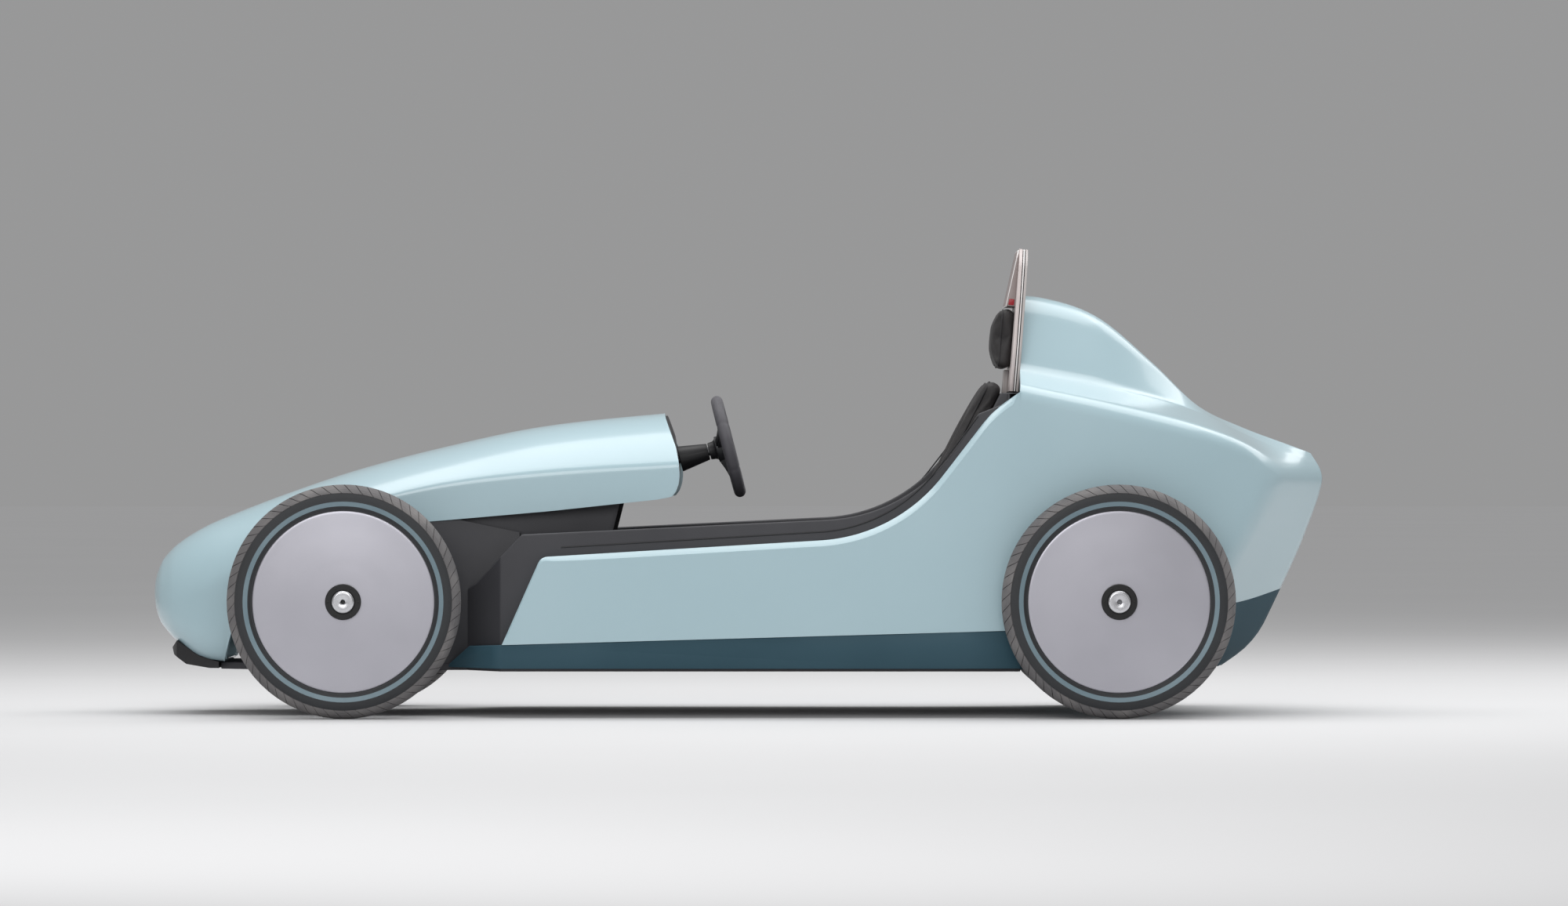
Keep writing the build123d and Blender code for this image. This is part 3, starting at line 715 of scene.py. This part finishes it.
def copyTree(name, inputs, lay):  # a node group that sets real copies of a piece where lay puts them
    tree = bpy.data.node_groups.new(name, "GeometryNodeTree")
    tree.interface.new_socket("Geometry", in_out="INPUT", socket_type="NodeSocketGeometry")
    names = {}
    for label, kind in [("Piece", "Object"), ("Paint", "Material"), *inputs]:
        names[label] = tree.interface.new_socket(label, in_out="INPUT", socket_type="NodeSocket" + kind).identifier
    tree.interface.new_socket("Geometry", in_out="OUTPUT", socket_type="NodeSocketGeometry")
    net = Net(tree)
    given = tree.nodes.new("NodeGroupInput")
    put = {label: Wire(net, given.outputs[label]) for label in ("Geometry", *names)}
    shape = net.node("GeometryNodeObjectInfo", {}, {"Object": put["Piece"]}, "Geometry")
    spots, turn = lay(net, put)
    copies = net.node("GeometryNodeInstanceOnPoints", {}, {"Points": spots, "Instance": shape, "Rotation": turn})
    real = net.node("GeometryNodeRealizeInstances", {}, {"Geometry": copies})
    done = net.node("GeometryNodeSetMaterial", {}, {"Geometry": real, "Material": put["Paint"]})
    tree.links.new(done.socket, tree.nodes.new("NodeGroupOutput").inputs[0])
    return tree, names


def ringLay(net, put):  # round an axle that lies along Y
    spots = net.node("GeometryNodePoints", {}, {"Count": put["Count"], "Position": put["Site"]})
    step = net.node("GeometryNodeInputIndex") * (2 * math.pi / put["Count"])
    return spots, net.node("ShaderNodeCombineXYZ", {}, {"Y": step})


def seamLay(net, put):  # end to end along drawn lines
    lines = net.node("GeometryNodeMeshToCurve", {}, {"Mesh": put["Geometry"]})
    spots = net.node("GeometryNodeResampleCurve", {"mode": "LENGTH"}, {"Curve": lines, "Length": put["Gap"]})
    heading = net.node("GeometryNodeInputTangent")
    return spots, net.node("FunctionNodeAlignRotationToVector", {"axis": "X"}, {"Vector": heading})


ringTree = copyTree("ringOfCopies", [("Count", "Int"), ("Site", "Vector")], ringLay)
seamTree = copyTree("stitchesAlongSeam", [("Gap", "Float")], seamLay)


def copied(made, group, source, finish, **given):
    tree, names = group
    step = made.modifiers.new(tree.name, "NODES")
    step.node_group = tree
    for label, value in {"Piece": source, "Paint": finishes[finish], **given}.items():
        step[names[label]] = value
    return plain(made)


def spun(name, profile, centre, side, segments):  # a closed profile of radius and offset, turned about Y
    points, marks = [], []
    count = len(profile)
    x, y, z = centre
    for k, a in enumerate(around(segments)):
        points += [(x + r * math.cos(a), y + side * off, z + r * math.sin(a)) for r, off in profile]
        marks += [((k, i), (k, i + 1), (k + 1, i + 1), (k + 1, i)) for i in range(count)]
    made = piece(name, points, stacked(count, segments, looped=True))
    run = [0.0]
    for p, q in zip(profile, profile[1:] + profile[:1]):
        run.append(run[-1] + math.dist(p, q) * mm)
    chart = made.data.uv_layers.new(name="turned")
    for polygon, mark in zip(made.data.polygons, marks):
        for loop, (k, i) in zip(polygon.loop_indices, mark):
            chart.data[loop].uv = (k / segments, run[i])
    with opened(made) as shape:
        bmesh.ops.recalc_face_normals(shape, faces=shape.faces)
    return smoothed(made, 30)


wheel = {
    "corners": [("front_left", 890, 1), ("front_right", 890, -1), ("rear_left", -860, 1), ("rear_right", -860, -1)],
    "track": 400, "radius": 265, "bead": (206, 21), "belly": (234, 30), "shoulder": (255, 22), "segments": 112,
    "stripe": (216, 226.5), "stripeOut": 21, "stripeRise": 0.5, "rimGroove": (210, 1.2),
    "treadCount": 64, "groove": 2.0, "slant": 0.088, "blockShare": 0.945, "taper": 0.02,
    "treadRows": [(264.8, 1.0), (263.4, 8.5), (260.2, 15.5), (255.4, 21.6), (250.4, 25.4), (246.4, 27.4)],
    "boltCount": 6, "boltCircle": 34.5, "bolt": (2.6, 2.2, 33.6),  # radius, height, foot
    "turned": [  # piece, finish, slot, segments, profile
        ("disc", "satinDisc", "satin_disc", 112, [
            (206, -21), (206, 19.8), (205.4, 21.2), (204.2, 22.0), (202.4, 22.3), (199, 22.45), (180, 23.2),
            (150, 24.6), (120, 26), (90, 26.9), (62, 27.5), (46, 27.8), (30, 28), (30, 24), (120, 22), (192, 18),
            (192, -18), (62, -20), (62, -23), (130, -22), (190, -21.2)]),
        ("hub", "blackHub", "black_hub", 72, [
            (10.08, -25), (29.4, -25), (30, -24.4), (30, 28), (39.6, 28), (40.5, 28.9), (40.5, 32.6), (39.1, 34),
            (28, 34), (27, 33.2), (26, 33.2), (25.2, 34), (10.08, 34)]),
        ("cap", "brightCap", "bright_cap", 72, [
            (5.5, 34), (25, 34), (25, 37.4), (24.4, 38.4), (22, 39.8), (20.6, 40), (8.2, 40), (6.6, 39.4),
            (5.5, 38.4)])]}


def sidewall(radius):  # offset of the tyre's side at a radius
    marks = (wheel["bead"], wheel["belly"], wheel["shoulder"])
    total = 0.0
    for at, offset in marks:
        total += offset * math.prod((radius - other) / (at - other) for other, aside in marks if other != at)
    return total


def tyreProfile():
    low, high = wheel["stripe"]
    grooveAt, grooveDeep = wheel["rimGroove"]
    groove = wheel["groove"]
    radii = [206, 207.5, grooveAt, 212.4, low - 0.4, low, (low + high) / 2, high, high + 0.4]
    half = []
    for r in radii + [226, 230, 234, 238, 241.5, 244.5]:
        raised = wheel["stripeRise"] if low <= r <= high else 0.0
        half.append((r, sidewall(r) + raised - (grooveDeep if r == grooveAt else 0.0)))
    half += [(r - groove * 0.8, off - groove * 0.6) for r, off in reversed(wheel["treadRows"][1:])]
    half.append((wheel["radius"] - groove, 0.0))
    return [(r, -off) for r, off in half] + [(r, off) for r, off in reversed(half[:-1])]


def treadBlock():  # one slanted block on each shoulder, on the axle
    pitch = 2 * math.pi / wheel["treadCount"]
    rows, groove = wheel["treadRows"], wheel["groove"]
    count = len(rows)
    points, faces = [], []
    for side, ahead in ((1, 0.0), (-1, 0.5)):
        base = len(points)
        for deep in (0.0, 1.0):
            taper = wheel["taper"] * (1 - deep)
            for k, (r, off) in enumerate(rows):
                lean = wheel["slant"] * (k / (count - 1)) ** 1.3
                reach, aside = r - deep * groove * 1.25, (off - deep * groove * 0.9) * side
                for edge in (taper, wheel["blockShare"] - taper):
                    a = (ahead + edge) * pitch + lean
                    points.append((reach * math.cos(a), aside, reach * math.sin(a)))
        deeper = 2 * count
        for a in range(base, base + deeper - 2, 2):
            b, low, after = a + 2, a + deeper, a + 2 + deeper
            faces += [(a, a + 1, b + 1, b), (a, b, after, low), (a + 1, low + 1, after + 1, b + 1)]
        for a in (base, base + deeper - 2):
            faces.append((a, a + 1, a + deeper + 1, a + deeper))
    made = piece("treadBlock", points, faces)
    with opened(made) as shape:
        for face in shape.faces:  # every face looks away from the block's middle
            middle = face.calc_center_median()
            block = [v.co for v in shape.verts if v.co.y * middle.y > 0]
            if (middle - sum(block, Vector()) / len(block)).dot(face.normal) < 0:
                face.normal_flip()
    return made


def boltHead(side):  # six-sided head with a domed top, on the axle
    radius, height, foot = wheel["bolt"]
    points = []
    for share, up in ((1.0, 0.0), (1.0, 0.72), (0.86, 0.94), (0.4, 1.0)):
        points += [(wheel["boltCircle"] + x, side * (foot + height * up), z) for x, z in ring(radius * share, 6)]
    return cleaned(piece("hubBolt", points, stacked(6, 4)))


def makeWheel(corner, x, side):
    body = "wheel_" + corner
    centre = (x, side * wheel["track"], wheel["radius"])
    tyre = spun("tyre_" + corner + "_skin", tyreProfile(), centre, side, wheel["segments"])
    for finish in ("tyreRubber", "stripe"):
        tyre.data.materials.append(finishes[finish])
    low, high = wheel["stripe"]
    for polygon in tyre.data.polygons:
        spot = polygon.center / mm - Vector(centre)
        if low < math.hypot(spot.x, spot.z) < high and abs(spot.y) > wheel["stripeOut"]:
            polygon.material_index = 1
    dressed(tyre, body, None, "tyre_rubber", "tyre_" + corner)
    for name, finish, slotName, segments, line in wheel["turned"]:
        made = spun(name + "_" + corner + "_skin", line, centre, side, segments)
        dressed(made, body, finish, slotName, name + "_" + corner)
    # the tread blocks take the tread rubber, whose lighter colour is a painted highlight
    rings = [("tread_", treadBlock(), wheel["treadCount"], "treadRubber", "tyre_rubber"),
             ("bolts_", boltHead(side), wheel["boltCount"], "blackHub", "black_hub")]
    for name, source, count, finish, slotName in rings:
        made = piece(name + corner, [], [])
        copied(made, ringTree, source, finish, Count=count, Site=[c * mm for c in centre])
        dressed(made, body, finish, slotName)
        bpy.data.objects.remove(source)


for corner in wheel["corners"]:
    makeWheel(*corner)
print("wheels made:", len(wheel["corners"]))

headPlate = {
    "at": (-640, 0, 741), "lean": -4.72, "half": [(210, 0), (205, 90), (170, 215), (128, 300), (78, 331)],
    "rounds": [60, 120, 60, 40], "edgeRound": 0.7, "layers": [  # piece, back, front, inset, finish, node it replaces
        ("plateBack", 0.0, 5.5, 0.0, "palePlate"), ("plateGapBack", 5.5, 7.5, 3.5, "frameBlack"),
        ("plateCore", 7.5, 10.5, 0.5, "whiteEdge"), ("plateGapFront", 10.5, 12.5, 3.5, "frameBlack"),
        ("plateFront", 12.5, 20.0, 0.0, "rosyPlate", "headrest_plate")],
    "visor": [(196, 42), (326, 24)], "visorBack": 19.5, "visorHalf": 103, "visorInset": 4, "visorRows": 15,
    "visorRound": 2.2, "bead": 1.6, "lamp": [(31, 199), (36.5, 199), (35, 213), (23, 213), (23, 199), (31, 199)],
    "lampSides": (102.0, 104.4), "lampCorner": 1.5, "lampRound": 0.8}


def plateOutline(inset):
    half = headPlate["half"]
    points = half + [(-y, z) for y, z in reversed(half)]
    line = rounded(points, headPlate["rounds"] + headPlate["rounds"][::-1], straight=5, bend=8)
    out = []
    for k, (y, z) in enumerate(line):
        before, after = line[k - 1], line[(k + 1) % len(line)]
        heading = Vector((after[0] - before[0], after[1] - before[1])).normalized()
        out.append((y - heading.y * inset, z + heading.x * inset))
    return out


def fitPlate(name, points, count, edgeRound, segments, finish, *nodes):  # rings of points in the plate's own frame
    made = cleaned(piece(name, points, stacked(count, len(points) // count)))
    smoothed(plain(bevelled(made, edgeRound, segments)), 40).data.transform(leaning(headPlate["at"], headPlate["lean"]))
    dressed(made, "chassis", finish, "pale_plate", *nodes)


def makeHeadPlate():
    for name, back, front, inset, finish, *nodes in headPlate["layers"]:
        outline = plateOutline(inset)
        points = [(x, y, z) for x in (back, front) for y, z in outline]
        fitPlate(name, points, len(outline), headPlate["edgeRound"], 2, finish, *nodes)
    edge = [p for p in plateOutline(0.0) if p[0] > 0]
    (low, deep), (high, shallow) = headPlate["visor"]
    back, bead = headPlate["visorBack"], headPlate["bead"]
    points, left, right = [], [], []
    for share in (k / (headPlate["visorRows"] - 1) for k in range(headPlate["visorRows"])):
        z = low + (high - low) * share
        wide = min(headPlate["visorHalf"], lineAt(edge, z, 1) - headPlate["visorInset"])
        front = deep + (shallow - deep) * share
        points += [(back, wide, z), (front, wide, z), (front, -wide, z), (back, -wide, z)]
        left.append((front - bead, wide - bead, z))
        right.insert(0, (front - bead, bead - wide, z))
    fitPlate("plateVisor", points, 4, headPlate["visorRound"], 3, "dimPanel")
    loop = spread(left + right + left[:1], 161)[:-1]
    rim = tube("plateVisorEdge", loop, bead, (1.0, 0.0, 0.0))
    rim.data.transform(leaning(headPlate["at"], headPlate["lean"]))
    dressed(rim, "chassis", "whiteEdge", "pale_plate")
    outline = rounded(headPlate["lamp"], [headPlate["lampCorner"]] * 4, straight=3, bend=4)[:-1]
    for side, word in handed:
        points = [(x, side * y, z) for y in headPlate["lampSides"] for x, z in outline]
        fitPlate("markerLamp" + word, points, len(outline), headPlate["lampRound"], 3, "redLamp")


makeHeadPlate()
print("head plate layered")

pads = [  # sizes in each pad's own frame: out of the seat, across it, and up it
    {"node": "seat_back", "name": "backCushion", "at": (-285, 0, 121), "lean": -27, "axes": (0, 1, 2),
     "low": (0, -195, 98), "high": (56, 195, 712), "thin": 0.7, "pull": 5.0, "cap": 15.0, "voxel": 6.0, "fill": 0.7,
     "across": [(z, -112, 112) for z in (204, 288, 372, 456, 540)], "upright": [(-120, 130, 672), (120, 130, 672)],
     "rim": 33, "groove": 4.0, "pipe": 3.0},
    {"node": "seat_base", "name": "baseCushion", "at": (0, 0, 0), "lean": 0, "axes": (2, 1, 0),
     "low": (-262, -195, 121), "high": (90, 195, 205), "thin": 0.8, "pull": 4.0, "cap": 15.0, "voxel": 6.0, "fill": 0.7,
     "across": [(x, -112, 112) for x in (-110, -50, 10)], "upright": [(-120, -172, 62), (120, -172, 62)],
     "rim": 178, "groove": 4.0, "pipe": 3.0},
    {"node": "headrest_pad", "name": "headCushion", "at": (-640, 0, 741), "lean": -4.72, "axes": (0, 1, 2),
     "low": (20, -110, 50), "high": (70, 110, 192), "thin": 0.74, "pull": 3.0, "cap": 12.0, "voxel": 4.0, "fill": 0.75,
     "across": [], "upright": [], "rim": 47, "groove": 2.0, "pipe": 2.2},
]
sewing = {"pressure": 4.0, "frames": 20, "backHeld": 0.08, "faceFrom": 0.8, "heldReach": 0.6, "bulge": 1.4,
          "grooveWidth": 5.0, "edgeGap": 6.5, "stitchGap": 8.0, "stitchLength": 5.2, "threadThick": 1.0, "rise": 0.2,
          "linePoints": 40, "pipePoints": 240, "far": 1000.0}


def stitch():  # a short thread along X with tucked ends
    length, thick = sewing["stitchLength"], sewing["threadThick"]
    points = []
    for share, drop, scale in ((-0.5, 0.5, 0.5), (-0.3, 0.0, 1.0), (0.3, 0.0, 1.0), (0.5, 0.5, 0.5)):
        points += [(length * share, y, z - drop * thick) for y, z in ring(thick * 0.5 * scale, 6)]
    return piece("oneStitch", points, stacked(6, 4))


def stitchesAlong(name, lines, body, slotName, place):
    points, edges = [], []
    for line in lines:
        edges += [(len(points) + k, len(points) + k + 1) for k in range(len(line) - 1)]
        points += line
    made = piece(name, points, [], edges)
    made.data.transform(place)
    thread = stitch()
    copied(made, seamTree, thread, "thread", Gap=sewing["stitchGap"] * mm)
    bpy.data.objects.remove(thread)
    dressed(made, body, "thread", slotName)


def rimLine(made, axis, level, count):  # line where a plane cuts a closed cushion
    shape = bmesh.new()
    shape.from_mesh(made.data)
    face = Vector(1.0 if k == axis else 0.0 for k in range(3))
    everything = shape.verts[:] + shape.edges[:] + shape.faces[:]
    cut = bmesh.ops.bisect_plane(shape, geom=everything, plane_co=face * level * mm, plane_no=face)["geom_cut"]
    spots = [v.co / mm for v in cut if isinstance(v, bmesh.types.BMVert)]
    shape.free()
    middle = sum(spots, Vector()) / len(spots)
    one, two = [k for k in range(3) if k != axis]
    spots.sort(key=lambda p: math.atan2(p[two] - middle[two], p[one] - middle[one]))
    line = spread([tuple(p) for p in spots] + [tuple(spots[0])], count + 1)[:-1]
    for turn in range(3):
        trios = [(line[k - 1], line[k], line[(k + 1) % count]) for k in range(count)]
        line = [tuple((a + 2 * b + c) / 4 for a, b, c in zip(*trio)) for trio in trios]
    return line


def padLines(pad):  # sewn lines of a pad's face, as pairs of (across, up) ends
    lines = [((a, level), (b, level)) for level, a, b in pad["across"]]
    return lines + [((level, a), (level, b)) for level, a, b in pad["upright"]]


def nearLine(spot, lines):
    best = sewing["far"]
    for a, b in lines:
        run = (b[0] - a[0], b[1] - a[1])
        t = ((spot[0] - a[0]) * run[0] + (spot[1] - a[1]) * run[1]) / (run[0] ** 2 + run[1] ** 2)
        t = max(0.0, min(1.0, t))
        best = min(best, math.dist(spot, (a[0] + t * run[0], a[1] + t * run[1])))
    return best


def stuffed(made, pad, held):  # the cover swells under pressure between its sewn lines
    group = made.vertex_groups.new(name="sewn")
    group.add(held, 1.0, "REPLACE")
    cloth = made.modifiers.new("stuffing", "CLOTH")
    cloth.settings.use_pressure = True
    cloth.settings.uniform_pressure_force = sewing["pressure"]
    cloth.settings.effector_weights.gravity = 0.0
    cloth.settings.quality = 5
    cloth.settings.vertex_group_mass = "sewn"
    cloth.collision_settings.use_collision = False
    start = [v.co.copy() for v in made.data.vertices]
    for count in range(1, sewing["frames"] + 1):
        bpy.context.scene.frame_set(count)
    plain(made)
    bpy.context.scene.frame_set(1)
    made.vertex_groups.clear()
    for vert, was in zip(made.data.vertices, start):
        move = vert.co - was
        if move.length > pad["cap"] * mm:
            vert.co = was + move.normalized() * pad["cap"] * mm


def cutCover(made, pad, lines):  # thinner than its solid, and returns the points that the sewing holds
    out, wide, tall = pad["axes"]
    low, high = pad["low"], pad["high"]
    held = []
    for vert in made.data.vertices:
        spot = vert.co / mm
        depth = (spot[out] - low[out]) / (high[out] - low[out])
        u = 2 * (spot[wide] - low[wide]) / (high[wide] - low[wide]) - 1
        v = 2 * (spot[tall] - low[tall]) / (high[tall] - low[tall]) - 1
        spot[out] = low[out] + (spot[out] - low[out]) * pad["thin"]
        spot[wide] -= u * pad["pull"] * (sewing["bulge"] - v * v)
        spot[tall] -= v * pad["pull"] * (sewing["bulge"] - u * u)
        near = nearLine((spot[wide], spot[tall]), lines) < sewing["heldReach"] * pad["voxel"]
        if depth < sewing["backHeld"] or (depth > sewing["faceFrom"] and near):
            held.append(vert.index)
        vert.co = spot * mm
    return held


def sinkSeams(made, pad, lines):
    out, wide, tall = pad["axes"]
    width = sewing["grooveWidth"]
    facing = [(v.co / mm, v.normal.copy()) for v in made.data.vertices]
    for vert, (spot, normal) in zip(made.data.vertices, facing):
        away = nearLine((spot[wide], spot[tall]), lines) if normal[out] > 0.3 else sewing["far"]
        rimShare = 0.5 * math.exp(-((spot[out] - pad["rim"]) / width) ** 2) * (1 - abs(normal[out]))
        spot = spot - normal * pad["groove"] * (math.exp(-(away / width) ** 2) + rimShare)
        inRoom = [max(a, min(b, c)) for a, c, b in zip(pad["low"], spot, pad["high"])]  # the room its solid holds
        vert.co = Vector(inRoom) * mm


def stitchPaths(made, pad, lines, up):  # a row on either side of each sewn line, laid on the skin
    out, wide, tall = pad["axes"]
    skin = BVHTree.FromPolygons([v.co / mm for v in made.data.vertices], [list(p.vertices) for p in made.data.polygons])
    paths = []
    for a, b in lines:
        for aside in (-sewing["edgeGap"], sewing["edgeGap"]):
            shift = (0, aside) if a[1] == b[1] else (aside, 0)
            path = []
            for p in spread([a, b], sewing["linePoints"]):
                eye = Vector((0, 0, 0))
                eye[out], eye[wide], eye[tall] = pad["high"][out] + 50, p[0] + shift[0], p[1] + shift[1]
                path.append(tuple(skin.ray_cast(eye, -up)[0] + up * sewing["rise"]))
            paths.append(path)
    return paths


def makePad(pad):
    out = pad["axes"][0]
    up = Vector(1.0 if k == out else 0.0 for k in range(3))
    lines = padLines(pad)
    place = leaning(pad["at"], pad["lean"])
    made = placed(pad["name"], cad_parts[pad["node"]].data.copy())
    made.data.transform(place.inverted())  # worked flat, so that the sewn lines follow the mesh
    cleaned(made)
    plain(modified(made, "REMESH", mode="VOXEL", voxel_size=pad["voxel"] * mm, use_smooth_shade=True))
    held = cutCover(made, pad, lines)
    stuffed(made, pad, held)
    modified(made, "SMOOTH", factor=0.5, iterations=3)
    plain(modified(made, "SUBSURF", levels=1, render_levels=1))
    sinkSeams(made, pad, lines)
    pipe = tube(pad["name"] + "Piping", rimLine(made, out, pad["rim"], sewing["pipePoints"]), pad["pipe"], up)
    paths = stitchPaths(made, pad, lines, up)
    for part in (made, pipe):
        part.data.transform(place)
    smoothed(made, 180)
    dressed(made, "chassis", "seatLeather", "seat_leather", pad["node"])
    dressed(pipe, "chassis", "piping", "seat_leather")
    if paths:
        stitchesAlong(pad["name"] + "Stitches", paths, "chassis", "seat_leather", place)


for pad in pads:
    makePad(pad)
print("cushions stuffed and sewn:", len(pads))

grip = {
    "at": (25, 0, 616), "tilt": 14.5, "ring": 107, "tube": 14, "ringPoints": 180, "tubePoints": 28, "inset": 0.25,
    "seam": 0.7, "bands": (62.0, 118.0, 242.0, 298.0), "bandWidth": 1.4, "bandDeep": 0.9, "stitchPoints": 120,
    "collar": [(10.3, 45.6), (18.4, 45.6), (19.6, 44.4), (21.0, 34.0), (23.6, 29.6), (26.0, 28.2), (10.3, 28.2)],
    "rib": [(26, 27.6), (34, 25.4), (46, 20.6), (60, 16.2), (76, 12.8), (92, 10.6), (93, 4.0), (60, 9.0), (26, 19.0)],
    "ribHalf": 8.5, "ribRound": 2.0}
gripPlace = leaning(grip["at"], 90 + grip["tilt"])


def makeGrip():
    points = []
    for a in around(grip["ringPoints"]):
        nearBand = min(abs(math.degrees(a) - band) for band in grip["bands"]) / grip["bandWidth"]
        pinch = grip["bandDeep"] * math.exp(-nearBand**2)  # where two covers meet
        for i, b in enumerate(around(grip["tubePoints"])):
            groove = grip["seam"] if i == 0 else 0.0  # sewn seam on the inside of the grip
            reach = grip["tube"] - grip["inset"] - groove - pinch
            r = grip["ring"] - reach * math.cos(b)
            points.append((r * math.cos(a), r * math.sin(a), reach * math.sin(b)))
    made = piece("gripRing", points, stacked(grip["tubePoints"], grip["ringPoints"], looped=True))
    made.data.transform(gripPlace)
    dressed(smoothed(cleaned(made), 60), "steering", "gripLeather", "black_rubber", "steering_rim")
    inside = grip["ring"] - grip["tube"] + 0.9
    circle = [(x, y, 0.0) for x, y in ring(inside, grip["stitchPoints"])]
    stitchesAlong("gripStitches", [circle + circle[:1]], "steering", "black_rubber", gripPlace)


def makeCollar():  # black boss and dished ribs between column and grip
    collar = spun("columnCollar", grip["collar"], (0, 0, 0), side=1, segments=64)
    collar.data.transform(gripPlace @ Matrix.Rotation(math.radians(90), 4, "X"))
    dressed(collar, "steering", "blackPlastic", "black_plastic")
    points, faces = [], []
    for a in around(3):
        spin = Matrix.Rotation(a, 4, "Z")
        faces += stacked(len(grip["rib"]), base=len(points))
        for aside in (-grip["ribHalf"], grip["ribHalf"]):
            points += [tuple(spin @ Vector((r, aside, up))) for r, up in grip["rib"]]
    ribs = bevelled(cleaned(piece("spokeRibs", points, faces)), grip["ribRound"], segments=3, angle=40)
    smoothed(plain(ribs), 40).data.transform(gripPlace)
    dressed(ribs, "steering", "blackPlastic", "black_plastic")


makeGrip()
makeCollar()
print("steering grip sewn")

stage = {
    "colour": (204, 204, 205), "shade": (208, 208, 209), "reach": 60.0, "rings": 8, "spokes": 48,
    "backdrop": (0.314, 0.314, 0.316, 1.0), "air": (0.52, 0.52, 0.52, 1.0),
    "lamps": [  # name, place, aim, size, power
        ("topSoftbox", (0.0, -0.2, 4.2), (0.0, -0.1, 0.3), (6.4, 3.6), 184),
        ("sideSoftbox", (1.2, 6.4, 3.0), (-0.2, 0.0, 0.4), (5.0, 3.2), 158),
        ("tailSoftbox", (-4.4, -2.4, 4.2), (-1.0, 0.0, 0.5), (4.0, 3.0), 80)],
    "lens": 152.8, "camera": (-0.104, 15.43, 0.601)}


def makeStage():
    count, rings = stage["spokes"], stage["rings"]
    points = [(0.0, 0.0, 0.0)]
    for k in range(1, rings + 1):
        points += [(x, y, 0.0) for x, y in ring(stage["reach"] / mm * k / rings, count)]
    faces = [(0, 1 + i, 1 + (i + 1) % count) for i in range(count)]
    faces += stacked(count, rings, base=1)[:-2]
    floor = cleaned(piece("studioFloor", points, faces), (0, 0, -100000))
    ground = Finish("floorPaper", stage, {"Roughness": 0.9, "Specular IOR Level": 0.0})
    ground.feed(ground.shader, {"Base Color": ground.toned(ground.noise(0.6, 2.0))})
    floor.data.materials.append(ground.material)


def makeStudio():
    scene = bpy.context.scene
    scene.view_settings.view_transform = "Standard"
    world = bpy.data.worlds.new("studioAir")
    world.use_nodes = True
    air = Net(world.node_tree)
    rays = world.node_tree.nodes.new("ShaderNodeLightPath")
    seen = sum(Wire(air, rays.outputs[ray]) for ray in ("Is Camera Ray", "Is Glossy Ray", "Is Transmission Ray"))
    sky = air.mix(seen, stage["air"], stage["backdrop"])
    air.feed(world.node_tree.nodes["Background"], {"Color": sky, "Strength": 1.0})
    scene.world = world
    for name, place, aim, size, power in stage["lamps"]:
        light = bpy.data.lights.new(name, "AREA")
        light.shape = "RECTANGLE"
        light.size, light.size_y = size
        light.energy = power
        made = placed(name, light)
        made.location = place
        made.rotation_euler = (Vector(aim) - Vector(place)).to_track_quat("-Z", "Y").to_euler()
    camera = bpy.data.cameras.new("photoCamera")
    camera.sensor_width = 36.0
    camera.lens = stage["lens"]
    camera.clip_end = 200.0
    scene.camera = placed("photoCamera", camera)
    scene.camera.location = stage["camera"]
    scene.camera.rotation_euler = (math.radians(90), 0.0, math.radians(180))


makeStage()
makeStudio()
print("studio set")
